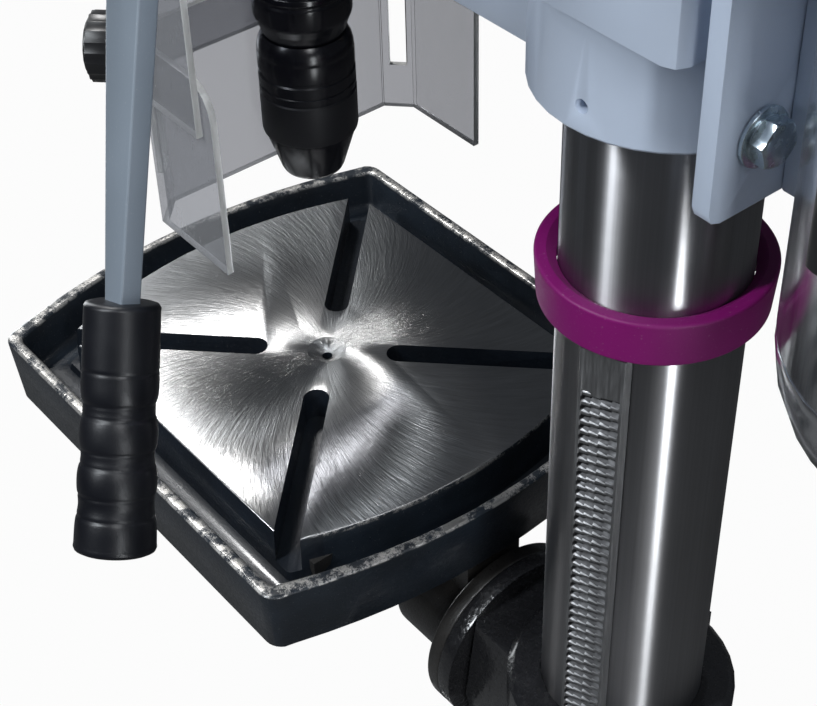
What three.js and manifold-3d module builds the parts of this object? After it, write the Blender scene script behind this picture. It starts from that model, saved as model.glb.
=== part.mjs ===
// Bench drill press, in millimetres. +Z up, -Y towards the operator, +X the operator's right.
// The origin is on the underside of the base, below the column axis.
import * as THREE from "three";
import Module from "manifold-3d";
import { mergeVertices } from "three/addons/utils/BufferGeometryUtils.js";

const wasm = await Module();
wasm.setup();

// Driving dimensions
const GAP = 0.3; // clearance kept between neighbouring pieces
const THROAT = 211; // column axis to spindle axis
const RISE = 120; // heights above the stand are counted from this level over the base underside
const SPINDLE_Y = -THROAT;
const COLUMN_R = 35;
const COLUMN_WALL = 5;
const BORE_R = COLUMN_R + GAP; // every casting that grips the column

const BASE = { halfX: 115, front: -325, rear: 105, flange: 18, top: 60 };
const FOOT_HOLE = { x: 92, front: -302, rear: 82, r: 6 };
const FLANGE = { z0: BASE.top + GAP, r: 80, socketR: 50, plate: 14, z1: 112, boltR: 66 };

const RING = { z0: 565, z1: 584, r0: 42.4, r1: 43.7, lip: 37, recessR: 39.6, recessTop: 577 };
const RACK = { angle: 20, half: 9, back: 35.4, face: 41, z0: -7, z1: 564.5, tongue: 576, tongueR: 38.2 };
const MODULE = 1.5;
const PITCH = Math.PI * MODULE;

const COLLAR = { r: 50, z0: 260, z1: 353 };
const GEAR = { r: 50, z: 288, teeth: 14, half: 6 };
const WORM = { r: 8, z: GEAR.z + 18.5, from: 43, to: 60 };
const LOCK = { angle: 17, r: 58, z: 306 };
const CRANK = { reach: 100, throw: 78, gripLength: 70 };

const TILT = { z: 313, r: 45, joint: -73, disc: 7.7, bolt: 8 };
const TABLE = {
  z: 400, halfX: 117.8, halfY: 114, bow: 20.5, depth: 38.5,
  innerX: 111.6, innerY: 107.5, innerBow: 22,
  platX: 92.4, platY: 93, platBow: 19, trough: 23,
  slotW: 12.5, slotFrom: 36, slotTo: 132,
};

const HEAD = { z0: 655, z1: 800, socketR: 48, nose: 665, noseR: 42, half: 44 };
const QUILL = { r: 22.5, z0: 638, z1: 785 };
const FEED = { x: 96, y: -166, z: 696.5, teeth: 24, module: 2, angle: 22.1, splay: 22.5 };
const LEVER = { from: 31, neck: 147, grip: 148, end: 240.3 };

const CHUCK = { nose: 510.8, top: 606 };
const SPINDLE = { r: 10, top: 897 };

const GUARD = { z0: 505, z1: 596, hook: [-72.5, -169], upperZ0: 572, upperZ1: 644, wall: 3 };

const COVER = { z0: 804, rim: 880, top: 916, r: 88, wall: 3 };
const IDLER_Y = -40;
const MOTOR = { y: 137, r: 65, z0: 588, z1: 768, plateY: 57, rodZ: 748, knobZ: 785.5 };
const STEP = 14;
const PULLEY_Z = 816;
const LARGE_LOW = [55, 46, 37, 28];
const LARGE_HIGH = [30, 39, 48, 57];

// Materials
const paint = (hex, metalness = 0.1, roughness = 0.45) =>
  new THREE.MeshStandardMaterial({ color: hex, metalness, roughness });
const CHARCOAL = 0x262b30;
const HEAD_GREY = 0xb4bdc8;
const STEEL = 0xa9adb0;
const BLACK = 0x151517;
const ZINC = 0xc9cccd;
const CLEAR = 0xdfe6ea;

const group = new THREE.Group();
group.name = "drill_press";

// Shape helpers: each returns a manifold solid
function solid(geometry) {
  let g = geometry.index ? geometry : geometry.clone();
  g.deleteAttribute("normal");
  g.deleteAttribute("uv");
  g = mergeVertices(g, 1e-4);
  const mesh = new wasm.Mesh({
    numProp: 3,
    vertProperties: Float32Array.from(g.attributes.position.array),
    triVerts: Uint32Array.from(g.index.array),
  });
  return new wasm.Manifold(mesh);
}

const rad = (degrees) => (degrees * Math.PI) / 180;

function box(x0, x1, y0, y1, z0, z1) {
  const g = new THREE.BoxGeometry(x1 - x0, y1 - y0, z1 - z0);
  g.translate((x0 + x1) / 2, (y0 + y1) / 2, (z0 + z1) / 2);
  return solid(g);
}

// Closed turned body about +Z; the profile runs up in [r, z] pairs and starts and ends on the axis
function turned(profile, segments = 18) {
  const g = new THREE.LatheGeometry(profile.map(([r, z]) => new THREE.Vector2(r, z)), segments);
  g.rotateX(Math.PI / 2);
  return solid(g);
}

const rod = (r, z0, z1, segments = 18) => turned([[0, z0], [r, z0], [r, z1], [0, z1]], segments);

function tube(inner, outer, z0, z1, segments = 18) {
  return rod(outer, z0, z1, segments).subtract(rod(inner, z0 - 1, z1 + 1, segments));
}

function prism(points, z0, z1) {
  const g = new THREE.ExtrudeGeometry(new THREE.Shape(points.map(([x, y]) => new THREE.Vector2(x, y))), {
    depth: z1 - z0, bevelEnabled: false,
  });
  g.translate(0, 0, z0);
  return solid(g);
}

// Solid through a stack of convex outlines with equal point counts: [[points, z], ...], lowest first
function loft(rings) {
  const count = rings[0][0].length;
  const positions = [];
  for (const [points, z] of rings) for (const [x, y] of points) positions.push(x, y, z);
  const index = [];
  for (let k = 0; k + 1 < rings.length; k++) {
    for (let i = 0; i < count; i++) {
      const a = k * count + i;
      const b = k * count + ((i + 1) % count);
      index.push(a, b, b + count, a, b + count, a + count);
    }
  }
  const last = (rings.length - 1) * count;
  for (let i = 1; i + 1 < count; i++) {
    index.push(0, i + 1, i, last, last + i, last + i + 1);
  }
  const g = new THREE.BufferGeometry();
  g.setAttribute("position", new THREE.Float32BufferAttribute(positions, 3));
  g.setIndex(index);
  return solid(g);
}

const along = {
  x: (s) => s.rotate([0, 90, 0]), // +Z becomes +X
  y: (s) => s.rotate([-90, 0, 0]), // +Z becomes +Y
};
const hex = (across, z0, z1) =>
  prism([0, 1, 2, 3, 4, 5].map((k) => {
    const a = rad(60 * k + 30);
    return [(across / Math.sqrt(3)) * Math.cos(a), (across / Math.sqrt(3)) * Math.sin(a)];
  }), z0, z1);

function hexBolt(shank, length, across, head, washer) {
  return rod(shank, -length, 0.5, 14).add(rod(washer, 0, 1.6, 18)).add(hex(across, 1.2, head + 1.6));
}

function add(name, body, color, options = {}) {
  const m = body.getMesh();
  const g = new THREE.BufferGeometry();
  g.setAttribute("position", new THREE.BufferAttribute(Float32Array.from(m.vertProperties), 3));
  g.setIndex(new THREE.BufferAttribute(Uint32Array.from(m.triVerts), 1));
  g.translate(0, 0, RISE);
  g.computeVertexNormals();
  const material = paint(color, options.metalness, options.roughness);
  if (options.opacity) {
    material.transparent = true;
    material.opacity = options.opacity;
  }
  const mesh = new THREE.Mesh(g, material);
  mesh.name = name;
  group.add(mesh);
}

// Outlines
function roundedRect(x0, x1, y0, y1, r, steps = 4) {
  const corners = [[x1 - r, y1 - r, 0], [x0 + r, y1 - r, 90], [x0 + r, y0 + r, 180], [x1 - r, y0 + r, 270]];
  return corners.flatMap(([cx, cy, start]) =>
    Array.from({ length: steps + 1 }, (_, i) => {
      const a = rad(start + (90 * i) / steps);
      return [cx + r * Math.cos(a), cy + r * Math.sin(a)];
    }));
}

// Table outline about the spindle axis: straight sides, front and rear edges bowed out, small corner radius
function bowed(halfX, halfY, bow, corner = 0, steps = 6) {
  const edge = [];
  for (let i = 0; i <= steps; i++) {
    const t = 1 - (2 * i) / steps;
    edge.push([(halfX - corner) * t, halfY + bow * (1 - t * t)]);
  }
  if (corner) {
    edge.unshift([halfX, halfY - corner], [halfX - 0.3 * corner, halfY - 0.3 * corner]);
    edge.push([-(halfX - 0.3 * corner), halfY - 0.3 * corner], [-halfX, halfY - corner]);
  }
  const all = [...edge, ...edge.map(([x, y]) => [-x, -y])];
  return all.map(([x, y]) => [x, SPINDLE_Y + y]);
}

// Wall of even thickness to the left of an open path, mitred at its bends
function wall(path, thickness) {
  const offset = path.map((p, i) => {
    const dir = (a, b) => {
      const l = Math.hypot(b[0] - a[0], b[1] - a[1]);
      return [(b[0] - a[0]) / l, (b[1] - a[1]) / l];
    };
    const before = dir(path[Math.max(i - 1, 0)], path[Math.max(i, 1)]);
    const after = dir(path[Math.min(i, path.length - 2)], path[Math.min(i + 1, path.length - 1)]);
    const n = [-(before[1] + after[1]), before[0] + after[0]];
    const scale = (2 * thickness) / (n[0] * n[0] + n[1] * n[1]);
    return [p[0] + n[0] * scale, p[1] + n[1] * scale];
  });
  return [...path, ...offset.reverse()];
}

// Stand
function base() {
  const flange = prism(roundedRect(-BASE.halfX, BASE.halfX, BASE.front, BASE.rear, 26), 0, BASE.flange);
  const deckLow = roundedRect(-100, 100, BASE.front + 14, BASE.rear - 14, 14);
  const deckHigh = roundedRect(-92, 92, BASE.front + 22, BASE.rear - 22, 12);
  const deck = loft([[deckLow, BASE.flange - 1], [deckHigh, BASE.top]]);
  let body = flange.add(deck);
  for (const x of [-FOOT_HOLE.x - 12, FOOT_HOLE.x + 12]) {
    for (const y of [FOOT_HOLE.front, FOOT_HOLE.rear]) {
      body = body.subtract(rod(FOOT_HOLE.r, -1, BASE.top + 1, 14).translate([x, y, 0]));
    }
  }
  for (const x of [-50, 50]) {
    body = body.subtract(box(x - 7, x + 7, -290, -110, BASE.top - 9, BASE.top + 1));
    body = body.subtract(box(x - 12, x + 12, -290, -110, BASE.top - 18, BASE.top - 8.9));
  }
  return body.subtract(prism(roundedRect(-84, 84, BASE.front + 32, -95, 14), -1, 34))
    .subtract(prism(roundedRect(-84, 84, -80, BASE.rear - 30, 14), -1, 34))
    .add(rod(40, 0, 36, 28));
}

function columnFlange() {
  const body = turned([
    [0, FLANGE.z0], [FLANGE.r, FLANGE.z0], [FLANGE.r, FLANGE.z0 + FLANGE.plate - 2],
    [FLANGE.r - 2, FLANGE.z0 + FLANGE.plate], [FLANGE.socketR + 3, FLANGE.z0 + FLANGE.plate],
    [FLANGE.socketR, FLANGE.z0 + FLANGE.plate + 5], [FLANGE.socketR - 2, FLANGE.z1 - 2],
    [FLANGE.socketR - 4, FLANGE.z1], [0, FLANGE.z1],
  ], 20);
  let cut = body.subtract(rod(BORE_R, 0, 200, 36));
  for (const a of [60, 180, 300]) {
    cut = cut.subtract(rod(5.4, 0, 100, 12).translate([FLANGE.boltR, 0, 0]).rotate([0, 0, a]));
  }
  return cut;
}

function flangeBolt(angle) {
  return hexBolt(5, 10, 16, 7, 9).translate([FLANGE.boltR, 0, FLANGE.z0 + FLANGE.plate + GAP])
    .rotate([0, 0, angle]);
}

function rackRing() {
  const body = turned([
    [0, RING.z0], [RING.r0 - 0.8, RING.z0], [RING.r0, RING.z0 + 0.8], [RING.r1, RING.z1 - 1.5],
    [RING.r1 - 1.5, RING.z1], [0, RING.z1],
  ], 36);
  const inside = turned([
    [0, RING.z0 - 1], [RING.recessR, RING.z0 - 1], [RING.recessR, RING.recessTop], [BORE_R, RING.recessTop + 1],
    [BORE_R, RING.z1 - 3], [RING.lip + 2, RING.z1 + 0.5], [0, RING.z1 + 0.5],
  ], 36);
  return body.subtract(inside);
}

// Rack in its own radial frame (+X out of the column), turned into place afterwards
function rack() {
  const { half, back, face, z0, z1 } = RACK;
  let body = box(back, face, -half, half, z0, z1).add(box(back, RACK.tongueR, -half, half, z1 - 1, RACK.tongue));
  const root = face - 2.2 * MODULE;
  const first = GEAR.z - Math.floor((GEAR.z - z0 - 14) / PITCH) * PITCH;
  const cutters = [];
  for (let z = first; z < z1 - 22; z += PITCH) {
    cutters.push(prism([
      [root, z - 0.9], [face + 0.5, z - 1.7], [face + 0.5, z + 1.7], [root, z + 0.9],
    ], -half + 1.5, half - 1.5).rotate([90, 0, 0]));
  }
  body = body.subtract(wasm.Manifold.compose(cutters));
  return body.rotate([0, 0, RACK.angle]);
}

// Table lift
function tableBracket() {
  const { r, z0, z1 } = COLLAR;
  const collar = turned([
    [0, z0], [r - 2, z0], [r, z0 + 2], [r, z1 - 3], [r - 3, z1], [0, z1],
  ], 36);
  const arm = loft([
    [roundedRect(-31, 31, -66, -20, 3, 1), TILT.z - 38],
    [roundedRect(-36, 36, -66, -20, 3, 1), TILT.z - 10],
    [roundedRect(-30, 30, -66, -20, 3, 1), TILT.z + 34],
  ]);
  const disc = along.y(rod(TILT.r, 0, TILT.disc, 36)).translate([0, TILT.joint + GAP / 2, TILT.z]);
  const gearbox = box(30, 68, -16, 16, GEAR.z - 16, WORM.z + 13).rotate([0, 0, RACK.angle]);
  const ears = box(-LOCK.r - 8, -30, -13, 13, LOCK.z - 30, LOCK.z + 28).rotate([0, 0, LOCK.angle]);
  const slit = box(-70, -30, -1.5, 1.5, 259, 354).rotate([0, 0, LOCK.angle]);
  let body = collar.add(arm).add(disc).add(gearbox).add(ears).subtract(rod(BORE_R, 200, 400, 36)).subtract(slit);
  const radial = [
    box(30, RACK.face + GAP, -RACK.half - GAP, RACK.half + GAP, 200, 400),
    rod(13, -7.5, 7.5, 20).rotate([90, 0, 0]).translate([GEAR.r, 0, GEAR.z]),
    rod(4.3, -20, 20, 12).rotate([90, 0, 0]).translate([GEAR.r, 0, GEAR.z]),
    along.x(rod(10.4, 30, 61.5, 18)).translate([0, 0, WORM.z]),
    along.x(rod(6.3, 60, 80, 14)).translate([0, 0, WORM.z]),
  ];
  for (const cut of radial) body = body.subtract(cut.rotate([0, 0, RACK.angle]));
  body = body.subtract(rod(5.3, -30, 30, 12).rotate([90, 0, 0]).translate([-LOCK.r, 0, LOCK.z]).rotate([0, 0, LOCK.angle]));
  return body.subtract(along.y(rod(TILT.bolt + GAP, -80, -52, 18)).translate([0, 0, TILT.z]));
}

function liftGear() {
  const steps = [];
  const pitchR = (GEAR.teeth * MODULE) / 2;
  for (let k = 0; k < GEAR.teeth; k++) {
    const c = (2 * Math.PI * k) / GEAR.teeth;
    const t = 1 / pitchR;
    for (const [r, a] of [[pitchR - 1.9, -1.3 * t], [pitchR, -0.8 * t], [pitchR + 1.2, -0.35 * t],
      [pitchR + 1.2, 0.35 * t], [pitchR, 0.8 * t], [pitchR - 1.9, 1.3 * t]]) {
      steps.push([r * Math.cos(c + a), r * Math.sin(c + a)]);
    }
  }
  const gear = prism(steps, -GEAR.half, GEAR.half).add(rod(4, -15.5, 15.5, 12));
  return gear.rotate([90, 0, 0]).translate([GEAR.r, 0, GEAR.z]).rotate([0, 0, RACK.angle]);
}

// Worm thread as a height field round the shaft, then the shaft and the crank arm
function wormCrank() {
  const { from, to } = WORM;
  const around = 12;
  const count = Math.round((to - from) / 0.7);
  const rings = [];
  for (let j = 0; j <= count; j++) {
    const s = from + ((to - from) * j) / count;
    const ring = [];
    for (let i = 0; i < around; i++) {
      const turn = i / around;
      const phase = (((s - GEAR.r) / PITCH - turn) % 1 + 1.5) % 1 - 0.5;
      const h = Math.max(0, Math.min(1, (1.05 - Math.abs(phase) * PITCH) / 0.6));
      const r = WORM.r - 1.9 + 3 * h * Math.min(1, (s - from) / 2, (to - s) / 2);
      ring.push([r * Math.cos(2 * Math.PI * turn), r * Math.sin(2 * Math.PI * turn)]);
    }
    rings.push([ring, s]);
  }
  const worm = loft(rings);
  const shaft = rod(5.9, to - 0.5, CRANK.reach, 14);
  const hub = rod(11, CRANK.reach - 12, CRANK.reach + 4, 18);
  const arm = loft([
    [roundedRect(-10, 10, -12, CRANK.throw + 9, 8, 3), CRANK.reach - 8],
    [roundedRect(-10, 10, -12, CRANK.throw + 9, 8, 3), CRANK.reach],
  ]);
  const pin = rod(4, CRANK.reach - 4, CRANK.reach + CRANK.gripLength - 4, 12).translate([0, CRANK.throw, 0]);
  return along.x(worm.add(shaft).add(hub).add(arm).add(pin)).translate([0, 0, WORM.z]).rotate([0, 0, RACK.angle]);
}

function crankGrip() {
  const z = CRANK.reach + GAP;
  const end = CRANK.reach + CRANK.gripLength;
  const body = turned([
    [0, z], [9, z], [10.5, z + 6], [9, z + 22], [11.5, z + 48], [11, end - 6], [7, end], [0, end],
  ], 18);
  const bored = body.subtract(rod(4.3, z - 1, end - 3.5, 12));
  return along.x(bored.translate([0, CRANK.throw, 0])).translate([0, 0, WORM.z]).rotate([0, 0, RACK.angle]);
}

// Clamp screw through the split ears with a handle that ends in a ball
function lockLever() {
  const screw = rod(5, -14, 25, 12);
  const boss = rod(9, 13.3, 27, 14);
  const handle = rod(4, 4, 62, 12).add(turned([
    [0, 58], [7, 60], [10, 68], [7, 76], [0, 78],
  ], 12)).rotate([90, 0, 0]).translate([0, 0, 21]);
  return screw.add(boss).add(handle).rotate([90, 0, 0]).translate([-LOCK.r, 0, LOCK.z]).rotate([0, 0, LOCK.angle]);
}

function tiltBolt() {
  return along.y(rod(TILT.bolt, -133, -54, 18).add(hex(24, -142, -132))).translate([0, 0, TILT.z]);
}

// Table casting: rim, coolant trough, raised platform with four diagonal slots, ribs and tilt boss
function table() {
  const t = TABLE;
  const bottom = t.z - t.depth;
  const outer = loft([
    [bowed(t.halfX - 2.3, t.halfY - 2.3, t.bow - 0.6, 8), bottom],
    [bowed(t.halfX, t.halfY, t.bow, 8), t.z - 3],
    [bowed(t.halfX, t.halfY, t.bow, 8), t.z - 1],
  ]);
  const trough = loft([
    [bowed(t.innerX - 2, t.innerY - 2, t.innerBow), t.z - t.trough],
    [bowed(t.innerX, t.innerY, t.innerBow), t.z + 1],
  ]);
  const platform = loft([
    [bowed(t.platX + 1.5, t.platY + 1.5, t.platBow), t.z - t.trough - 1],
    [bowed(t.platX, t.platY, t.platBow), t.z],
  ]);
  const underTrough = loft([
    [bowed(t.innerX - 3, t.innerY - 3, t.innerBow - 1), bottom - 1],
    [bowed(t.innerX - 5, t.innerY - 5, t.innerBow - 1), t.z - t.trough - 7],
  ]);
  const underPlatform = loft([
    [bowed(t.platX - 6, t.platY - 6, t.platBow), bottom],
    [bowed(t.platX - 8, t.platY - 8, t.platBow), t.z - 22],
  ]);
  let body = outer.subtract(trough).add(platform).subtract(underTrough).subtract(underPlatform);
  const boss = along.y(rod(30, TILT.joint - 50, TILT.joint - 2, 16)).translate([0, 0, TILT.z]);
  const disc = along.y(rod(TILT.r, 0, TILT.disc, 36)).translate([0, TILT.joint - GAP / 2 - TILT.disc, TILT.z]);
  const web = box(-16, 16, TILT.joint - 50, TILT.joint - 2, TILT.z, t.z - 12);
  const crossX = box(-t.innerX + 3, t.innerX - 3, TILT.joint - 45, TILT.joint - 37, bottom + 2, t.z - 12);
  const crossY = box(-4, 4, SPINDLE_Y - 118, TILT.joint - 40, bottom + 6, t.z - 12);
  const ribs = web.add(crossX).add(crossY).subtract(trough.subtract(platform));
  body = body.add(ribs).add(boss).add(disc);
  for (const a of [45, 135, 225, 315]) {
    const slot = box(t.slotFrom, t.slotTo, -t.slotW / 2, t.slotW / 2, t.z - 18, t.z + 1)
      .add(rod(t.slotW / 2, t.z - 18, t.z + 1, 14).translate([t.slotFrom, 0, 0]));
    const inside = loft([
      [bowed(t.platX + 2, t.platY + 2, t.platBow), t.z - 19],
      [bowed(t.platX + 2, t.platY + 2, t.platBow), t.z + 2],
    ]);
    body = body.subtract(slot.rotate([0, 0, a]).translate([0, SPINDLE_Y, 0]).intersect(inside));
  }
  const centre = turned([[0, t.z - 30], [2.5, t.z - 30], [2.5, t.z - 4], [9.5, t.z + 0.2], [0, t.z + 0.2]], 18);
  body = body.subtract(centre.translate([0, SPINDLE_Y, 0]));
  for (const side of [-1, 1]) {
    body = body.subtract(box(-96, 96, SPINDLE_Y + side * 128 - 26, SPINDLE_Y + side * 128 + 26, 350, bottom + 6));
  }
  return body.subtract(along.y(rod(TILT.bolt + 0.5, -140, -70, 18)).translate([0, 0, TILT.z]));
}

// Head
function head() {
  const socket = turned([
    [0, HEAD.z0], [HEAD.socketR - 1.5, HEAD.z0], [HEAD.socketR, HEAD.z0 + 1.5], [HEAD.socketR, HEAD.z1], [0, HEAD.z1],
  ], 36);
  const nose = turned([
    [0, HEAD.nose], [HEAD.noseR - 2, HEAD.nose], [HEAD.noseR, HEAD.nose + 3], [HEAD.noseR, HEAD.z1], [0, HEAD.z1],
  ], 36).translate([0, SPINDLE_Y, 0]);
  const web = loft([
    [roundedRect(-34, 34, SPINDLE_Y, -10, 6, 2), HEAD.nose + 0.5],
    [roundedRect(-HEAD.half, HEAD.half, SPINDLE_Y, -10, 6, 2), HEAD.nose + 40],
    [roundedRect(-HEAD.half - 6, HEAD.half + 6, SPINDLE_Y, -10, 6, 2), HEAD.z1],
  ]);
  const rear = prism(roundedRect(-54, 54, -12, 50, 6, 2), 700, HEAD.z1);
  const hubBoss = along.x(rod(27, 0, 66, 16)).translate([0, FEED.y, FEED.z]);
  const springBoss = along.x(rod(25, -56, 0, 16)).translate([0, FEED.y, FEED.z]);
  let body = socket.add(nose).add(web).add(rear).add(hubBoss).add(springBoss);
  body = body.subtract(rod(BORE_R, HEAD.z0 - 1, 786, 36));
  body = body.subtract(rod(QUILL.r + 0.4, HEAD.nose - 1, 796, 36).translate([0, SPINDLE_Y, 0]));
  body = body.subtract(rod(17, 790, 810, 18).translate([0, SPINDLE_Y, 0]));
  body = body.subtract(along.x(rod(8.3, -60, 70, 14)).translate([0, FEED.y, FEED.z]));
  body = body.subtract(along.x(rod(27, -9, 9, 16)).translate([0, FEED.y, FEED.z]));
  for (const x of [-42, 42]) {
    body = body.subtract(along.y(rod(6.3, -6, 60, 14)).translate([x, 0, MOTOR.rodZ]));
  }
  const screwHole = along.x(rod(2.6, 30, 60, 12)).rotate([0, 0, 8]).translate([0, 0, 666]);
  body = body.subtract(screwHole);
  return body.subtract(along.y(rod(4.3, 32.5, 60, 12)).translate([20, 0, MOTOR.knobZ]));
}

// Grub screw that locks the head on the column, at the bottom of its tapped hole
function headScrew() {
  return along.x(rod(2.3, 35.6, 42, 12).subtract(hex(2.4, 39, 43))).rotate([0, 0, 8]).translate([0, 0, 666]);
}

function coverOutline(r) {
  const pts = [];
  for (let i = 0; i <= 16; i++) {
    const a = rad((180 * i) / 16);
    pts.push([r * Math.cos(a), MOTOR.y + r * Math.sin(a)]);
  }
  for (let i = 0; i <= 16; i++) {
    const a = rad(180 + (180 * i) / 16);
    pts.push([r * Math.cos(a), SPINDLE_Y + r * Math.sin(a)]);
  }
  return pts;
}

function coverBase() {
  const shell = prism(coverOutline(COVER.r), COVER.z0, COVER.rim);
  let body = shell.subtract(prism(coverOutline(COVER.r - COVER.wall), COVER.z0 + COVER.wall, COVER.rim + 1));
  body = body.subtract(rod(19, 790, 815, 18).translate([0, SPINDLE_Y, 0]));
  body = body.subtract(rod(12, 790, 815, 18).translate([0, IDLER_Y, 0]));
  return body.subtract(box(-16, 16, MOTOR.y - 34, MOTOR.y + 36, 790, 815));
}

function coverLid() {
  const z = COVER.rim + GAP;
  const outer = loft([
    [coverOutline(COVER.r), z], [coverOutline(COVER.r), z + 20], [coverOutline(COVER.r - 4), z + 30],
    [coverOutline(COVER.r - 12), COVER.top],
  ]);
  const inner = loft([
    [coverOutline(COVER.r - 3), z - 1], [coverOutline(COVER.r - 3), z + 19], [coverOutline(COVER.r - 7), z + 28],
    [coverOutline(COVER.r - 15), COVER.top - 3],
  ]);
  const hinge = along.y(rod(4, -150, 60, 12)).translate([-COVER.r - 4.5, 0, COVER.rim + 4.5]);
  const leaf = box(-COVER.r - 4.5, -COVER.r + 1.5, -150, 60, COVER.rim + 3, COVER.rim + 7);
  return outer.subtract(inner).add(hinge).add(leaf);
}

function lidKnob() {
  return along.x(turned([
    [0, 0], [5, 0], [5, 6], [10, 9], [11, 14], [9, 19], [0, 20],
  ], 18)).translate([COVER.r + GAP, -60, 893]);
}

function stepPulley(radii, bore, below = 0, hubR = 18) {
  const profile = [[0, PULLEY_Z - below], [hubR, PULLEY_Z - below]];
  if (below) profile.push([hubR, PULLEY_Z]);
  radii.forEach((r, k) => {
    const z = PULLEY_Z + k * STEP;
    profile.push([r, z], [r - 6, z + 3], [r - 6, z + STEP - 3], [r, z + STEP]);
  });
  profile.push([0, PULLEY_Z + radii.length * STEP]);
  return turned(profile, 16).subtract(rod(bore, 700, 900, 18));
}

function belt(ya, ra, yb, rb, level) {
  const z = PULLEY_Z + level * STEP + 3.5;
  const loop = (grow) => {
    const circle = (y, r) => Array.from({ length: 28 }, (_, i) => {
      const a = (2 * Math.PI * i) / 28;
      return [(r + grow) * Math.cos(a), y + (r + grow) * Math.sin(a)];
    });
    const flat = wasm.CrossSection.hull([...circle(ya, ra), ...circle(yb, rb)]);
    return flat.toPolygons()[0];
  };
  return prism(loop(-1.6), z, z + STEP - 7).subtract(prism(loop(-5.4), z - 1, z + STEP));
}

function idlerPost() {
  return rod(9, HEAD.z1 + GAP, PULLEY_Z - GAP, 14).add(rod(6, PULLEY_Z - 1, PULLEY_Z + 4 * STEP + 3, 14))
    .translate([0, IDLER_Y, 0]);
}

function switchBox() {
  const body = loft([
    [roundedRect(-84, -44 - 8.3, -136, -70, 5, 2), 704],
    [roundedRect(-84, -44 - 8.3, -136, -70, 5, 2), 776],
  ]);
  const bores = [[-103, 758], [-103, 726]].map(([y, z]) => along.x(rod(9.3, -90, -78, 18)).translate([0, y, z]));
  return body.subtract(bores[0]).subtract(bores[1]);
}

function button(z, mushroom) {
  const x = -84;
  const stem = rod(9, 0, 4.5, 18);
  const cap = mushroom
    ? turned([[0, 4], [9, 4], [9, 7], [16, 9], [13, 14.5], [0, 15.5]], 20)
    : turned([[0, 4], [9, 4], [9, 7], [8, 8.5], [0, 9]], 18);
  return along.x(stem.add(cap)).rotate([0, 0, 180]).translate([x + 2, -103, z]);
}

// Quill, spindle and keyless chuck, all on the spindle axis
function quill() {
  let body = turned([
    [0, QUILL.z0], [QUILL.r - 2, QUILL.z0], [QUILL.r, QUILL.z0 + 2], [QUILL.r, QUILL.z1], [0, QUILL.z1],
  ], 20).subtract(rod(SPINDLE.r + 0.8, 600, 800, 18));
  const pitch = Math.PI * FEED.module;
  const cutters = [];
  for (let z = FEED.z - 3 * pitch; z < QUILL.z1 + 3; z += pitch) {
    cutters.push(prism([
      [18.4, z - 1.2], [23, z - 2.7], [23, z + 2.7], [18.4, z + 1.2],
    ], -8.2, 8.2).rotate([90, 0, 0]).rotate([0, 0, 90]));
  }
  body = body.subtract(wasm.Manifold.compose(cutters));
  return body.translate([0, SPINDLE_Y, 0]);
}

function spindle() {
  return turned([
    [0, CHUCK.top + GAP], [12, CHUCK.top + GAP], [13, QUILL.z0 - 8], [16, QUILL.z0 - 6], [16, QUILL.z0 - GAP],
    [SPINDLE.r, QUILL.z0 - GAP], [SPINDLE.r, SPINDLE.top], [0, SPINDLE.top],
  ], 20).translate([0, SPINDLE_Y, 0]);
}

function chuckBody() {
  return turned([
    [0, 550], [10.7, 550], [10.7, 529.6], [12, 529.6], [12, 582], [18.6, 582], [18.6, 584], [21.3, 590],
    [21.3, 599], [20.4, 600], [20.8, 602], [19, CHUCK.top], [0, CHUCK.top],
  ], 20).translate([0, SPINDLE_Y, 0]);
}

function chuckSleeve() {
  const outer = turned([
    [0, CHUCK.nose], [12, CHUCK.nose], [13.6, 512.2], [16, 515.6], [18.4, 520], [20.3, 526.2], [21.4, 534], [21.4, 555.5],
    [20.6, 556.5], [21, 558], [20.9, 571.5], [20, 579.4], [18.9, 581.6], [0, 581.6],
  ], 20);
  return outer.subtract(rod(10.6, 500, 530, 20)).subtract(rod(12.3, 529, 600, 20)).translate([0, SPINDLE_Y, 0]);
}

// One of three jaws; its slide axis leans outwards by 20 degrees
function jaw(angle) {
  const sector = [[0.25, 0]];
  for (let i = 0; i <= 6; i++) {
    const a = rad(-55 + (110 * i) / 6);
    sector.push([3.9 * Math.cos(a), 3.9 * Math.sin(a)]);
  }
  return prism(sector, CHUCK.nose + 1, 528).rotate([0, 0, angle]).translate([0, SPINDLE_Y, 0]);
}

// Feed
function feedHub() {
  const r = (FEED.teeth * FEED.module) / 2;
  const teeth = [];
  for (let k = 0; k < FEED.teeth; k++) {
    const c = (2 * Math.PI * k) / FEED.teeth;
    for (const [d, w] of [[-2.4, -2], [1.7, -0.6], [1.7, 0.6], [-2.4, 2]]) {
      teeth.push([(r + d) * Math.cos(c + w / r), (r + d) * Math.sin(c + w / r)]);
    }
  }
  const pinion = prism(teeth, -7.5, 7.5).rotate([0, 0, -90]);
  const shaft = rod(8, -70, 70, 18);
  const hub = turned([
    [0, 66.3], [31, 66.3], [31, 72], [26, 73], [26, FEED.x + 8], [20, FEED.x + 13], [0, FEED.x + 15],
  ], 36);
  return along.x(pinion.add(shaft).add(hub)).translate([0, FEED.y, FEED.z]);
}

// Places a piece made along +Z from the hub centre out along one lever
function onLever(piece, turn) {
  return piece.rotate([0, 180 - FEED.splay, 0]).rotate([FEED.angle + turn, 0, 0])
    .translate([FEED.x, FEED.y, FEED.z]);
}

function lever(turn) {
  const t = 4;
  const bar = loft([
    [[[-t, -13.5], [t, -13.5], [t, 13.5], [-t, 13.5]], LEVER.from],
    [[[-t, -6.7], [t, -6.7], [t, 6.7], [-t, 6.7]], LEVER.neck],
  ]);
  return onLever(bar.add(rod(4, LEVER.neck - 1, LEVER.end - 14, 12)), turn);
}

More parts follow.
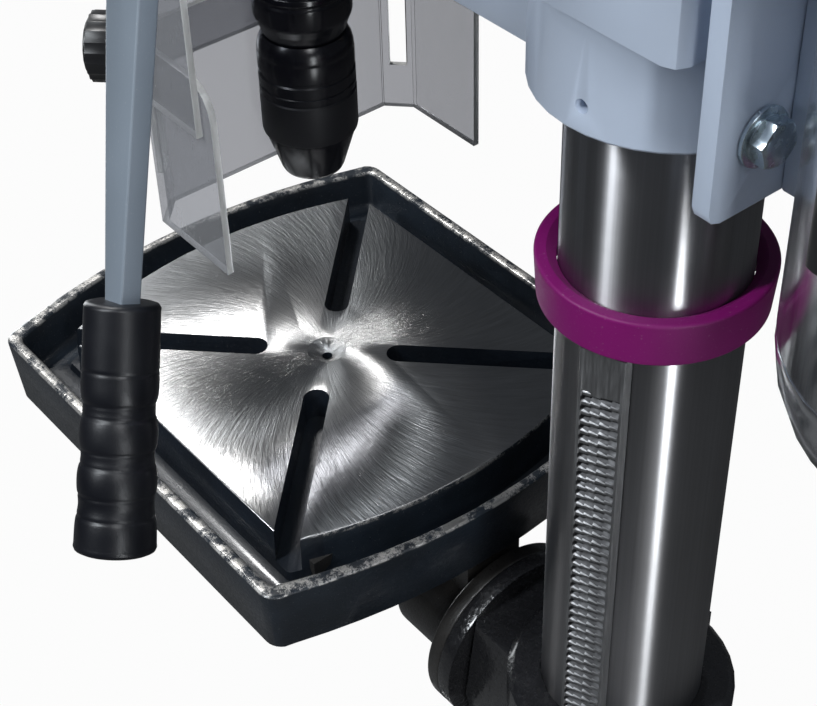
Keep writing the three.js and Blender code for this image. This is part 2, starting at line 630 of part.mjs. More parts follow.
function grip(turn) {
  const z = LEVER.grip;
  const n = LEVER.end - z;
  const profile = [[0, 0], [13, 0], [14, 2], [14.2, 21]];
  for (let k = 0; k < 5; k++) {
    const s = 24 + k * 13;
    profile.push([13 + 0.2 * k, s], [14.3 + 0.25 * k, s + 6.5]);
  }
  profile.push([15.4, n - 1.5], [14, n], [0, n]);
  const body = turned(profile.map(([r, s]) => [r, z + s]), 12);
  return onLever(body.subtract(rod(4.3, z - 1, LEVER.end - 13, 12)), turn);
}

// Spring housing at the left end of the feed shaft
function springCap() {
  const cup = turned([[0, 56.3], [25, 56.3], [25, 72], [22, 76], [0, 76]], 16).subtract(rod(9, 50, 72, 18));
  return cup.rotate([0, -90, 0]).translate([0, FEED.y, FEED.z]);
}

// Guard
function shieldPath(inset) {
  const d = inset;
  return [
    [-72.5 + d, 36], [-72.5 + d, -15 + 0.41 * d], [-61 + 0.41 * d, -27 + d], [61 - 0.41 * d, -27 + d],
    [72.5 - d, -15 + 0.41 * d], [72.5 - d, 36],
  ].map(([x, y]) => [x, y + SPINDLE_Y]);
}

function lowerShield() {
  const path = shieldPath(0);
  path[0][1] -= 5.5;
  let body = prism(wall(path, GUARD.wall), GUARD.z0, GUARD.z1);
  for (const side of [-1, 1]) {
    const slot = box(-4, 4, -6, 6, 528, 592).rotate([0, 0, side * 45]).translate([side * 67, SPINDLE_Y - 21, 0]);
    body = body.subtract(slot);
  }
  const corner = along.x(rod(16, -90, 90, 18)).translate([0, SPINDLE_Y + 20, GUARD.z1 - 16]);
  const trim = box(-90, 90, SPINDLE_Y + 20, SPINDLE_Y + 40, GUARD.z1 - 16, GUARD.z1 + 1).subtract(corner);
  return body.subtract(trim);
}

function upperShield() {
  const path = shieldPath(-3.5);
  path[0][1] = SPINDLE_Y + 30;
  path[5][1] = SPINDLE_Y + 30;
  const body = prism(wall(path, GUARD.wall), GUARD.upperZ0, GUARD.upperZ1);
  const [hx, hy] = GUARD.hook;
  const barrel = tube(4.3, 8, GUARD.upperZ1 - 44, GUARD.upperZ1, 18).translate([hx, hy, 0]);
  const leaf = box(-76, -73, SPINDLE_Y + 28, hy - 3, GUARD.upperZ1 - 44, GUARD.upperZ1)
    .subtract(rod(6, 500, 700, 18).translate([hx, hy, 0]));
  const hole = along.x(rod(3.7, -4, 12, 12)).rotate([0, 0, -45]).translate([66.75, SPINDLE_Y - 21, 588]);
  return body.add(barrel).add(leaf).subtract(hole);
}

function guardKnob() {
  const lobes = [];
  for (let i = 0; i < 40; i++) {
    const a = (2 * Math.PI * i) / 40;
    const r = 15 - (i % 2 ? 0.8 : 0);
    lobes.push([r * Math.cos(a), r * Math.sin(a)]);
  }
  const knob = prism(lobes, 9, 21).add(rod(9, 4.6, 10, 18)).add(rod(12, 20, 22.5, 18)).add(rod(3, -4.5, 5, 12));
  return along.x(knob).rotate([0, 0, -45]).translate([66.75, SPINDLE_Y - 21, 588]);
}

function guardBracket() {
  const ring = tube(24, 46, 650, 664.5, 20).translate([0, SPINDLE_Y, 0]);
  const [hx, hy] = GUARD.hook;
  const arm = prism([[-44, SPINDLE_Y - 6], [-38, SPINDLE_Y + 22], [hx + 3, hy + 8], [hx - 8, hy + 4], [hx - 6, hy - 8]],
    650, 658);
  const eye = rod(9, 650, 664.5, 18).translate([hx, hy, 0]);
  return ring.add(arm).add(eye).subtract(rod(24, 640, 670, 20).translate([0, SPINDLE_Y, 0]))
    .subtract(rod(4.3, 640, 661, 14).translate([hx, hy, 0]));
}

function guardPin() {
  const [hx, hy] = GUARD.hook;
  return rod(4, 596, 660.5, 14).add(rod(6.5, 592, 597, 14)).translate([hx, hy, 0]);
}

// Motor
function motorPlate() {
  const y = MOTOR.plateY;
  let body = along.y(prism(roundedRect(-50, 50, -768, -652, 5, 2), y, y + 7));
  for (const x of [-42, 42]) body = body.subtract(along.y(rod(6.3, y - 5, y + 12, 14)).translate([x, 0, MOTOR.rodZ]));
  for (const x of [-31, 31]) body = body.subtract(along.y(rod(4.3, y - 5, y + 12, 12)).translate([x, 0, 677]));
  return body;
}

function slideRod(x) {
  const y = MOTOR.plateY;
  return along.y(rod(6, 8, y + 10, 14).add(rod(11, y + 7.3, y + 9.5, 18)).add(hex(17, y + 9, y + 17)))
    .translate([x, 0, MOTOR.rodZ]);
}

function plateBolt(x) {
  const y = MOTOR.plateY + 7 + GAP;
  return along.y(hexBolt(4, 12, 14, 6, 10)).translate([x, y, 677]);
}

function motorBracket() {
  const y = MOTOR.plateY + 7 + GAP;
  const block = box(-19, 19, y, MOTOR.y - 40, 652, 744);
  return block.subtract(rod(MOTOR.r + 0.6, 600, 800, 36).translate([0, MOTOR.y, 0]));
}

function motorBody() {
  let body = turned([
    [0, 626], [MOTOR.r - 1, 626], [MOTOR.r, 627], [MOTOR.r, MOTOR.z1 - 14], [MOTOR.r - 8, MOTOR.z1 - 3],
    [MOTOR.r - 20, MOTOR.z1], [0, MOTOR.z1],
  ], 36);
  body = body.subtract(rod(9, 630, 800, 18));
  return body.translate([0, MOTOR.y, 0]);
}

function fanCover() {
  const outer = turned([
    [0, MOTOR.z0], [40, MOTOR.z0], [51, MOTOR.z0 + 3], [59, MOTOR.z0 + 12], [MOTOR.r - 1.5, MOTOR.z0 + 24],
    [MOTOR.r, MOTOR.z0 + 34], [MOTOR.r, 625.7], [0, 625.7],
  ], 36);
  const inner = turned([
    [0, MOTOR.z0 + 3], [39, MOTOR.z0 + 3], [49, MOTOR.z0 + 6], [56, MOTOR.z0 + 14], [60, MOTOR.z0 + 26],
    [61, 627], [0, 627],
  ], 16);
  let body = outer.subtract(inner);
  for (let k = 0; k < 6; k++) {
    body = body.subtract(box(14, 37, -3, 3, 570, 600).rotate([0, 0, 60 * k]));
  }
  return body.translate([0, MOTOR.y, 0]);
}

function motorShaft() {
  return rod(8, 632, PULLEY_Z + 4 * STEP + 2, 18).translate([0, MOTOR.y, 0]);
}

function terminalBox() {
  const shape = prism(roundedRect(40, 92, -26, 26, 5, 2), 700, 762).rotate([0, 0, 12]);
  return shape.subtract(rod(MOTOR.r + 0.6, 600, 800, 36)).translate([0, MOTOR.y, 0]);
}

function tensionKnob() {
  const knob = rod(4, 34, 57, 12).add(rod(13, 53, 66, 20));
  return along.y(knob).translate([20, 0, MOTOR.knobZ]);
}

// Assembly
add("base", base().translate([0, 0, -RISE]), CHARCOAL);
add("column_flange", columnFlange().translate([0, 0, -RISE]), CHARCOAL);
[60, 180, 300].forEach((a, i) => add(`flange_bolt_${i + 1}`, flangeBolt(a).translate([0, 0, -RISE]), ZINC, { metalness: 0.9 }));
add("column", tube(COLUMN_R - COLUMN_WALL, COLUMN_R, FLANGE.z0 + 1 - RISE, 785, 36), STEEL, { metalness: 1, roughness: 0.3 });
add("rack_ring", rackRing(), 0x8a0a74);
add("rack", rack(), STEEL, { metalness: 1 });
add("table_bracket", tableBracket(), BLACK);
add("lift_gear", liftGear(), STEEL, { metalness: 1 });
add("lift_crank", wormCrank(), STEEL, { metalness: 1 });
add("crank_grip", crankGrip(), BLACK);
add("bracket_lock_lever", lockLever(), STEEL, { metalness: 1 });
add("tilt_bolt", tiltBolt(), ZINC, { metalness: 0.9 });
add("table", table(), CHARCOAL);
add("head", head(), HEAD_GREY);
add("head_lock_screw", headScrew(), BLACK, { metalness: 0.8 });
add("cover_base", coverBase(), HEAD_GREY);
add("cover_lid", coverLid(), BLACK);
add("lid_knob", lidKnob(), BLACK);
add("spindle_pulley", stepPulley(LARGE_LOW, SPINDLE.r + 0.5, 8).translate([0, SPINDLE_Y, 0]), STEEL, { metalness: 1 });
add("idler_pulley", stepPulley(LARGE_HIGH, 6.3).translate([0, IDLER_Y, 0]), STEEL, { metalness: 1 });
add("motor_pulley", stepPulley(LARGE_LOW, 8.3).translate([0, MOTOR.y, 0]), STEEL, { metalness: 1 });
add("idler_post", idlerPost(), STEEL, { metalness: 1 });
add("front_belt", belt(SPINDLE_Y, 37, IDLER_Y, 48, 2), BLACK);
add("rear_belt", belt(IDLER_Y, 39, MOTOR.y, 46, 1), BLACK);
add("switch_box", switchBox(), BLACK);
add("start_button", button(726, false), 0x1f8a3c);
add("stop_button", button(758, true), 0xb51a1a);
add("quill", quill(), STEEL, { metalness: 1 });
add("spindle", spindle(), STEEL, { metalness: 1 });
add("chuck_body", chuckBody(), BLACK, { metalness: 0.9 });
add("chuck_sleeve", chuckSleeve(), BLACK, { metalness: 0.9 });
[30, 150, 270].forEach((a, i) => add(`chuck_jaw_${i + 1}`, jaw(a), STEEL, { metalness: 1 }));
add("feed_hub", feedHub(), BLACK);
[0, 120, 240].forEach((turn, i) => {
  add(`feed_lever_${i + 1}`, lever(turn), ZINC, { metalness: 1 });
  add(`feed_grip_${i + 1}`, grip(turn), BLACK, { roughness: 0.7 });
});
add("spring_cap", springCap(), BLACK);
add("guard_bracket", guardBracket(), BLACK);
add("guard_pin", guardPin(), 0xb08d4a, { metalness: 1 });
add("upper_shield", upperShield(), CLEAR, { opacity: 0.35 });
add("lower_shield", lowerShield(), CLEAR, { opacity: 0.35 });
add("guard_knob", guardKnob(), BLACK);
add("motor_plate", motorPlate(), HEAD_GREY);
add("slide_rod_left", slideRod(-42), ZINC, { metalness: 1 });
add("slide_rod_right", slideRod(42), ZINC, { metalness: 1 });
add("plate_bolt_left", plateBolt(-31), ZINC, { metalness: 0.9 });
add("plate_bolt_right", plateBolt(31), ZINC, { metalness: 0.9 });
add("motor_bracket", motorBracket(), HEAD_GREY);
add("motor_body", motorBody(), STEEL, { metalness: 1 });
add("fan_cover", fanCover(), STEEL, { metalness: 1 });
add("motor_shaft", motorShaft(), STEEL, { metalness: 1 });
add("terminal_box", terminalBox(), BLACK);
add("tension_knob", tensionKnob(), BLACK);

export default group;
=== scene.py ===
"""Looks of a bench drill press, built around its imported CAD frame. Lengths in the helpers are millimetres."""
import math

import bmesh
import bpy
from mathutils import Matrix, Vector

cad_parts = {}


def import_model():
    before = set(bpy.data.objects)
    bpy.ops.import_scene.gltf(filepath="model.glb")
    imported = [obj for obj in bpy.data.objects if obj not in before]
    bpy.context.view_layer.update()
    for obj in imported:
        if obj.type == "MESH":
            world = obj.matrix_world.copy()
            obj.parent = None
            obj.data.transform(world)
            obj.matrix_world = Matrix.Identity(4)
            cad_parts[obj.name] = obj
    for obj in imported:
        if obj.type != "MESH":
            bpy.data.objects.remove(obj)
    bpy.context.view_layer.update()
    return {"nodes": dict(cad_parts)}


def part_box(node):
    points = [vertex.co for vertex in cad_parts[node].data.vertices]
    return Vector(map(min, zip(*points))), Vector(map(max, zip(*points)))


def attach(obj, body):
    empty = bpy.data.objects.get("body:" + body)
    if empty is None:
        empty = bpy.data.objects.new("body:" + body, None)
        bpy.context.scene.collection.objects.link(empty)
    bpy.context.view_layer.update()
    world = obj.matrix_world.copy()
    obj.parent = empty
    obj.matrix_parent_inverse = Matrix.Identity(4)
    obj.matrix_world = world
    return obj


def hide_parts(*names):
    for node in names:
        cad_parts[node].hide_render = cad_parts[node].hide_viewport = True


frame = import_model()

MM = 0.001
NODES = frame["nodes"]
# Heights in the helpers are counted from this level over the floor, where the table face is at 400
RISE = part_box("table")[1].z / MM - 400


def corner(node):
    """Lowest and highest corner of a CAD node, in millimetres."""
    low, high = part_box(node)
    down = Vector((0, 0, RISE))
    return low / MM - down, high / MM - down


def centre(node):
    low, high = corner(node)
    return (low + high) / 2


SPINDLE = centre("spindle")
COLUMN = centre("column")
TABLE_TOP = corner("table")[1].z

# ---------------------------------------------------------------- camera


CAMERA_ANGLES = (232.1765, 40.571, -1.795)  # yaw, pitch and roll in degrees
CAMERA_FROM_FACE = Vector((372.646, 545.768, 560.754))  # from where the spindle axis meets the table face
LENS = 77.07


def camera():
    """Above and behind the head on the operator's right, looking down at the table."""
    yaw, pitch, roll = (math.radians(a) for a in CAMERA_ANGLES)
    forward = Vector((math.cos(yaw) * math.cos(pitch), math.sin(yaw) * math.cos(pitch), -math.sin(pitch)))
    right = Vector((math.sin(yaw), -math.cos(yaw), 0))
    up = right.cross(forward)
    right, up = right * math.cos(roll) + up * math.sin(roll), up * math.cos(roll) - right * math.sin(roll)
    data = bpy.data.cameras.new("camera")
    data.lens, data.sensor_width = LENS, 36
    data.clip_start, data.clip_end = 0.01, 50
    cam = bpy.data.objects.new("camera", data)
    bpy.context.scene.collection.objects.link(cam)
    place = Matrix((right, up, -forward)).transposed().to_4x4()
    face = Vector((SPINDLE.x, SPINDLE.y, TABLE_TOP + RISE))
    place.translation = (face + CAMERA_FROM_FACE) * MM
    cam.matrix_world = place
    bpy.context.scene.camera = cam


camera()

# ---------------------------------------------------------------- materials


class Graph:
    """A material's node tree with short calls for the nodes used here."""

    def __init__(self, name):
        self.material = bpy.data.materials.new(name)
        self.material.use_nodes = True
        self.tree = self.material.node_tree
        self.tree.nodes.clear()
        self.out = self.tree.nodes.new("ShaderNodeOutputMaterial")
        self.coordinates = self.tree.nodes.new("ShaderNodeTexCoord").outputs["Object"]

    def node(self, kind, inputs=(), **settings):
        made = self.tree.nodes.new(kind)
        for key, value in settings.items():
            setattr(made, key, value)
        for key, value in dict(inputs).items():
            socket = made.inputs[key]
            if isinstance(value, bpy.types.NodeSocket):
                self.tree.links.new(value, socket)
            else:
                socket.default_value = value
        return made

    def math(self, operation, *values, clamp=False):
        inputs = dict(enumerate(values))
        return self.node("ShaderNodeMath", inputs, operation=operation, use_clamp=clamp).outputs[0]

    def vector(self, operation, *values):
        return self.node("ShaderNodeVectorMath", dict(enumerate(values)), operation=operation).outputs[0]

    def combine(self, x, y, z):
        return self.node("ShaderNodeCombineXYZ", {0: x, 1: y, 2: z}).outputs[0]

    def split(self):
        return self.node("ShaderNodeSeparateXYZ", {0: self.coordinates}).outputs

    def noise(self, scale, detail=4.0, rough=0.55, stretch=None, vector=None):
        where = self.coordinates if vector is None else vector
        if stretch:
            where = self.vector("MULTIPLY", where, stretch)
        return self.node("ShaderNodeTexNoise", {"Vector": where, "Scale": scale, "Detail": detail,
                                                "Roughness": rough}).outputs["Fac"]

    def ramp(self, value, low, high, to_low=0.0, to_high=1.0, smooth=False):
        return self.node("ShaderNodeMapRange", {0: value, 1: low, 2: high, 3: to_low, 4: to_high},
                         interpolation_type="SMOOTHSTEP" if smooth else "LINEAR").outputs[0]

    def mix(self, factor, a, b):
        made = self.node("ShaderNodeMix", {"Factor": factor}, data_type="RGBA")
        for socket, value in ((made.inputs[6], a), (made.inputs[7], b)):
            if isinstance(value, bpy.types.NodeSocket):
                self.tree.links.new(value, socket)
            else:
                socket.default_value = value
        return made.outputs[2]

    def bump(self, height, strength, distance):
        inputs = {"Height": height, "Strength": strength, "Distance": distance}
        return self.node("ShaderNodeBump", inputs).outputs[0]

    def finish(self, **sockets):
        names = {"color": "Base Color", "metal": "Metallic", "rough": "Roughness", "normal": "Normal",
                 "coat": "Coat Weight", "coat_rough": "Coat Roughness", "aniso": "Anisotropic",
                 "tangent": "Tangent", "specular": "Specular IOR Level", "through": "Transmission Weight",
                 "ior": "IOR"}
        shader = self.node("ShaderNodeBsdfPrincipled", {names[k]: v for k, v in sockets.items()})
        self.tree.links.new(shader.outputs[0], self.out.inputs[0])
        return self.material


def grey(value, tint=(1, 1, 1)):
    return (value * tint[0], value * tint[1], value * tint[2], 1)


def shaded(color, factor):
    return (color[0] * factor, color[1] * factor, color[2] * factor, 1)


def paint(name, color, rough, grain, grain_size, mottled, coat):
    """Sprayed paint: slight orange peel, cloudy tone and faint dust."""
    g = Graph(name)
    cloud = g.noise(28, 5)
    peel = g.noise(1000 / grain_size, 3)
    dust = g.ramp(g.noise(900, 2), 0.66, 0.74)
    base = g.mix(cloud, shaded(color, 1 - mottled), shaded(color, 1 + mottled))
    base = g.mix(g.math("MULTIPLY", dust, 0.12), base, grey(0.55))
    return g.finish(color=base, rough=g.ramp(cloud, 0.3, 0.7, rough * 0.85, rough * 1.2),
                    normal=g.bump(peel, grain, 0.0004), coat=coat, coat_rough=0.15)


def cast(name, color, rough, coarse, speck, worn=None):
    """Paint over a sand casting: pitted, uneven film. worn: heights between which an edge turns to metal."""
    g = Graph(name)
    lumps = g.noise(110, 5)
    sand = g.noise(650, 4, 0.65)
    height = g.math("ADD", g.math("MULTIPLY", lumps, 0.7), g.math("MULTIPLY", sand, 0.5))
    base = g.mix(g.ramp(g.noise(40, 4), 0.35, 0.7), shaded(color, 0.75), shaded(color, 1.35))
    metal, roughness = 0.0, g.ramp(sand, 0.3, 0.75, rough * 0.75, rough * 1.35)
    spots = g.ramp(g.noise(1700, 2, 0.4), 0.71, 0.76)
    base = g.mix(g.math("MULTIPLY", spots, speck), base, grey(0.6))
    if worn:
        z = g.split()[2]
        edge = g.ramp(z, (worn[0] + RISE) * MM, (worn[1] + RISE) * MM, smooth=True)
        flakes = g.math("ADD", g.noise(95, 6, 0.72), g.math("MULTIPLY", g.noise(1500, 3, 0.7), 0.35))
        patch = g.ramp(flakes, 0.62, 0.74)
        wear = g.math("MULTIPLY", edge, patch)
        base = g.mix(wear, base, grey(0.62, (1, 0.97, 0.92)))
        metal = wear
        roughness = g.math("ADD", g.math("MULTIPLY", roughness, g.math("SUBTRACT", 1, wear)),
                           g.math("MULTIPLY", wear, 0.38))
    return g.finish(color=base, metal=metal, rough=roughness, normal=g.bump(height, 0.35 * coarse, 0.0009),
                    coat=0.35, coat_rough=0.12)


def metal(name, color, rough, stretch=(1, 1, 1), scale=700, bump=0.12, vary=0.12):
    """Bare metal with tool marks running along the small axis of stretch."""
    g = Graph(name)
    marks = g.noise(scale, 3, 0.6, stretch)
    tone = g.noise(24, 4, 0.5, stretch)
    share = g.math("MULTIPLY", g.math("ADD", marks, tone), 0.5)
    base = g.mix(share, shaded(color, 1 - vary), shaded(color, 1 + vary))
    return g.finish(color=base, metal=1.0, rough=g.ramp(marks, 0.3, 0.7, rough * 0.75, rough * 1.3),
                    normal=g.bump(marks, bump, 0.0002))


def column_steel():
    """Ground bar: fine marks round the column, which draw each light out into an upright streak."""
    g = Graph("column_steel")
    rings = g.noise(60, 4, 0.7, (1, 1, 60))
    streaks = g.noise(900, 3, 0.6, (1, 1, 0.004))
    cloud = g.noise(9, 4)
    tone = g.math("ADD", g.math("MULTIPLY", streaks, 0.5), g.math("MULTIPLY", cloud, 0.5))
    base = g.mix(tone, (0.30, 0.29, 0.285, 1), (0.60, 0.60, 0.62, 1))
    return g.finish(color=base, metal=1.0, rough=g.ramp(rings, 0.25, 0.75, 0.27, 0.34), aniso=1.0,
                    tangent=g.combine(0.0, 0.0, 1.0), normal=g.bump(rings, 0.05, 0.0001))


MARK_CIRCLE = 0.25  # metres, diameter of the circle that each grinding mark is an arc of


def platform_steel():
    """Ground table face: every grinding mark is an arc that starts at the centre."""
    g = Graph("platform_steel")
    p = g.split()
    x = g.math("SUBTRACT", p[0], SPINDLE.x * MM)
    y = g.math("SUBTRACT", p[1], SPINDLE.y * MM)
    r = g.math("SQRT", g.math("ADD", g.math("MULTIPLY", x, x), g.math("MULTIPLY", y, y)))
    lean = g.math("ARCSINE", g.math("MINIMUM", g.math("DIVIDE", r, MARK_CIRCLE), 0.98))
    theta = g.math("ARCTAN2", y, x)
    start = g.math("SUBTRACT", theta, lean)
    ring = g.combine(g.math("COSINE", start), g.math("SINE", start), g.math("MULTIPLY", r, 1.2))
    broad = g.noise(11, 2, 0.5, None, ring)
    fine = g.noise(42, 3, 0.6, None, ring)
    hair = g.noise(120, 2, 0.6, None, ring)
    along = g.math("ADD", theta, lean)
    across = g.combine(g.math("MULTIPLY", g.math("SINE", along), -1), g.math("COSINE", along), 0.0)
    tangent = g.node("ShaderNodeVectorTransform", {0: across}, vector_type="VECTOR", convert_from="OBJECT",
                     convert_to="WORLD").outputs[0]
    small = g.math("ADD", g.math("MULTIPLY", fine, 0.6), g.math("MULTIPLY", hair, 0.35))
    height = g.math("ADD", g.math("MULTIPLY", broad, 0.3), small)
    height = g.math("MULTIPLY", height, g.ramp(r, 0.0, 0.07, 0.25, 1.0))
    base = g.mix(fine, (0.30, 0.295, 0.29, 1), (0.52, 0.52, 0.52, 1))
    blotch = g.ramp(g.noise(30, 5, 0.6), 0.5, 0.8)
    base = g.mix(g.math("MULTIPLY", blotch, 0.3), base, (0.25, 0.24, 0.235, 1))
    return g.finish(color=base, metal=1.0, rough=g.ramp(hair, 0.3, 0.7, 0.29, 0.37), aniso=0.85,
                    tangent=tangent, normal=g.bump(height, 0.75, 0.0008))


def sparkle_enamel():
    """Thick gloss enamel over a coarse casting: deep pits, each with its own glint."""
    g = Graph("black_enamel")
    lumps = g.noise(190, 4, 0.6)
    pits = g.node("ShaderNodeTexVoronoi", {"Vector": g.coordinates, "Scale": 420.0}).outputs["Distance"]
    height = g.math("ADD", g.math("MULTIPLY", lumps, 1.1), g.math("MULTIPLY", pits, 0.35))
    base = g.mix(g.noise(60, 4), (0.008, 0.008, 0.009, 1), (0.02, 0.02, 0.022, 1))
    return g.finish(color=base, rough=g.ramp(g.noise(300, 3), 0.35, 0.7, 0.16, 0.36),
                    normal=g.bump(height, 0.5, 0.001), coat=0.6, coat_rough=0.08, specular=0.6)


def plastic(name, color, rough, grain=0.12, size=0.5):
    """Smooth dark or coloured skin with a fine grain of the given size in millimetres."""
    g = Graph(name)
    skin = g.noise(1000 / size, 2, 0.5)
    cloud = g.noise(35, 3)
    base = g.mix(cloud, shaded(color, 0.8), shaded(color, 1.25))
    return g.finish(color=base, rough=g.ramp(cloud, 0.3, 0.7, rough * 0.85, rough * 1.2),
                    normal=g.bump(skin, grain, 0.0002))


def clear_sheet():
    """Clear polycarbonate: hazy scuffs on the faces, a greyed tint where it is seen edge on."""
    g = Graph("polycarbonate")
    scuff = g.ramp(g.noise(420, 4, 0.7, (1, 1, 0.35)), 0.52, 0.8)
    haze = g.noise(16, 3)
    glass = g.node("ShaderNodeBsdfPrincipled", {
        "Base Color": (0.9, 0.9, 0.91, 1), "Roughness": g.ramp(scuff, 0, 1, 0.02, 0.2), "IOR": 1.5,
        "Normal": g.bump(haze, 0.1, 0.002), "Alpha": 1.0}).outputs[0]
    clear = g.node("ShaderNodeBsdfTransparent", {"Color": (0.60, 0.605, 0.625, 1)}).outputs[0]
    edge = g.node("ShaderNodeLayerWeight", {"Blend": 0.22}).outputs["Facing"]
    amount = g.math("ADD", g.math("MULTIPLY", edge, 0.45), g.math("MULTIPLY", scuff, 0.05), clamp=True)
    share = g.math("ADD", amount, 0.035, clamp=True)
    mixed = g.node("ShaderNodeMixShader", {0: share, 1: clear, 2: glass}).outputs[0]
    g.tree.links.new(mixed, g.out.inputs[0])
    return g.material


def sheet_edge():
    """Sawn and polished edge of the clear sheet: it gathers light and shows pale."""
    g = Graph("polycarbonate_edge")
    saw = g.noise(900, 3, 0.6, (1, 1, 0.1))
    base = g.mix(saw, (0.5, 0.5, 0.48, 1), (0.92, 0.92, 0.9, 1))
    return g.finish(color=base, rough=0.25, through=0.35, ior=1.45, normal=g.bump(saw, 0.3, 0.0003))


HEAD_BLUE = (0.56, 0.635, 0.76)
M = {
    "charcoal": cast("charcoal_cast", (0.010, 0.0145, 0.021), 0.36, 0.9, 0.25, (397.2, 398.9)),
    # The stand's own dark paint; on the table it is also the painted shade of the trough.
    "stand": cast("stand_paint_and_trough_shade", (0.006, 0.009, 0.014), 0.42, 1.0, 0.1),
    "enamel": sparkle_enamel(),
    "head": paint("head_paint", HEAD_BLUE, 0.36, 0.10, 2.2, 0.05, 0.25),
    "ring": paint("ring_coat", (0.20, 0.0005, 0.125), 0.5, 0.12, 1.2, 0.12, 0.0),
    "column": column_steel(),
    "platform": platform_steel(),
    "steel": metal("machined_steel", (0.5, 0.5, 0.51), 0.34, (1, 1, 12), 300),
    "rack": metal("rack_steel", (0.30, 0.30, 0.305), 0.5, (1, 1, 0.08), 900),
    # Dark copy of the rack steel for the faces sunk between the teeth: painted shade in the gaps.
    "tooth_gap_shade": metal("rack_gap_shade", (0.07, 0.07, 0.072), 0.5, (1, 1, 1), 500, 0.2),
    "zinc": metal("zinc_plate", (0.62, 0.7, 0.74), 0.24, (1, 1, 1), 240, 0.1, 0.2),
    "alloy": metal("turned_alloy", (0.62, 0.62, 0.63), 0.26, (1, 1, 25), 60),
    "lever": paint("satin_bar", (0.20, 0.235, 0.275), 0.42, 0.05, 1.2, 0.05, 0.1),
    "motor": metal("motor_shell", (0.72, 0.73, 0.76), 0.2, (1, 1, 0.05), 260, 0.05, 0.05),
    "blued": plastic("blued_steel", (0.004, 0.004, 0.006), 0.22, 0.06, 1.2),
    "blued_matt": plastic("blued_steel_matt", (0.005, 0.005, 0.007), 0.38, 0.1, 0.8),
    "brass": metal("turned_brass", (0.62, 0.42, 0.18), 0.28, (1, 1, 10), 200),
    "black": plastic("moulded_black", (0.013, 0.013, 0.014), 0.34),
    "grip": plastic("grip_skin", (0.004, 0.0045, 0.007), 0.36, 0.2, 0.35),
    "belt": plastic("belt_rubber", (0.018, 0.018, 0.018), 0.7, 0.4, 0.5),
    "green": plastic("green_button", (0.02, 0.25, 0.06), 0.35),
    "red": plastic("red_button", (0.5, 0.012, 0.01), 0.35),
    "clear": clear_sheet(),
    "edge": sheet_edge(),
    "tilt_boss": cast("tilt_boss_cast", (0.03, 0.028, 0.026), 0.33, 1.1, 0.2),
}

# ---------------------------------------------------------------- mesh helpers


def lifted(verts):
    """Points in millimetres over the working level, as metres over the floor."""
    return [(v[0] * MM, v[1] * MM, (v[2] + RISE) * MM) for v in verts]


def piece(name, verts, faces, material, body, slot, replaces, sharp):
    """A new piece from points in millimetres, riding on a CAD body."""
    mesh = bpy.data.meshes.new(name)
    mesh.from_pydata(lifted(verts), [], faces)
    obj = bpy.data.objects.new(name, mesh)
    bpy.context.scene.collection.objects.link(obj)
    bm = bmesh.new()
    bm.from_mesh(mesh)
    bmesh.ops.remove_doubles(bm, verts=bm.verts, dist=1e-7)
    bmesh.ops.recalc_face_normals(bm, faces=bm.faces)
    bm.to_mesh(mesh)
    bm.free()
    return settle(obj, material, body, replaces, sharp)


def settle(obj, material, body, replaces, sharp):
    """Gives a mesh its materials, smooth shading with sharp edges, body and the nodes it stands for."""
    obj.data.materials.clear()
    for m in material if isinstance(material, list) else [material]:
        obj.data.materials.append(M[m])
    obj.data.polygons.foreach_set("use_smooth", [True] * len(obj.data.polygons))
    obj.data.set_sharp_from_angle(angle=math.radians(sharp))
    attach(obj, body)
    if replaces:
        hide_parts(*replaces)
    return obj


def fillet(points, radii, steps=5):
    """Open outline in the plane with its corners rounded; radii is one number or one per point."""
    out = []
    for i, p in enumerate(points):
        r = radii[i] if isinstance(radii, (list, tuple)) else radii
        if i in (0, len(points) - 1) or r <= 0:
            out.append(tuple(p))
            continue
        a, b, c = (Vector(points[k]) for k in (i - 1, i, i + 1))
        u, w = (a - b), (c - b)
        r_max = 0.45 * min(u.length, w.length)
        u, w = u.normalized(), w.normalized()
        angle = u.angle(w)
        if angle > math.radians(179):
            out.append(tuple(p))
            continue
        reach = min(r / math.tan(angle / 2), r_max)
        start, end = b + u * reach, b + w * reach
        for k in range(steps + 1):
            t = k / steps
            q = start * (1 - t) ** 2 + b * 2 * t * (1 - t) + end * t * t
            out.append((q.x, q.y))
    return out


def lathe(profile, segments, place):
    """Points and faces of a turned body; the profile is [r, z] pairs that start and end on the axis."""
    verts, faces, rings = [], [], []
    for r, z in profile:
        if r < 1e-6:
            rings.append([len(verts)])
            verts.append(Vector((0, 0, z)))
        else:
            rings.append(list(range(len(verts), len(verts) + segments)))
            for k in range(segments):
                a = 2 * math.pi * k / segments
                verts.append(Vector((r * math.cos(a), r * math.sin(a), z)))
    for low, high in zip(rings, rings[1:]):
        for k in range(segments):
            j = (k + 1) % segments
            if len(low) == 1 and len(high) > 1:
                faces.append((low[0], high[j], high[k]))
            elif len(high) == 1 and len(low) > 1:
                faces.append((low[k], low[j], high[0]))
            elif len(low) > 1:
                faces.append((low[k], low[j], high[j], high[k]))
    return [place @ v for v in verts], faces


def loft(rings, cap=True):
    """Points and faces through closed rings of equal length."""
    count = len(rings[0])
    verts = [Vector(p) for ring in rings for p in ring]
    faces = []
    for k in range(len(rings) - 1):
        for i in range(count):
            j = (i + 1) % count
            faces.append((k * count + i, k * count + j, (k + 1) * count + j, (k + 1) * count + i))
    if cap:
        faces.append(tuple(range(count))[::-1])
        faces.append(tuple(range((len(rings) - 1) * count, len(rings) * count)))
    return verts, faces


def joined(*parts):
    verts, faces = [], []
    for v, f in parts:
        base = len(verts)
        verts += v
        faces += [tuple(i + base for i in face) for face in f]
    return verts, faces


def at(x, y, z):
    return Matrix.Translation((x, y, z))


def turn(degrees, axis):
    return Matrix.Rotation(math.radians(degrees), 4, axis)


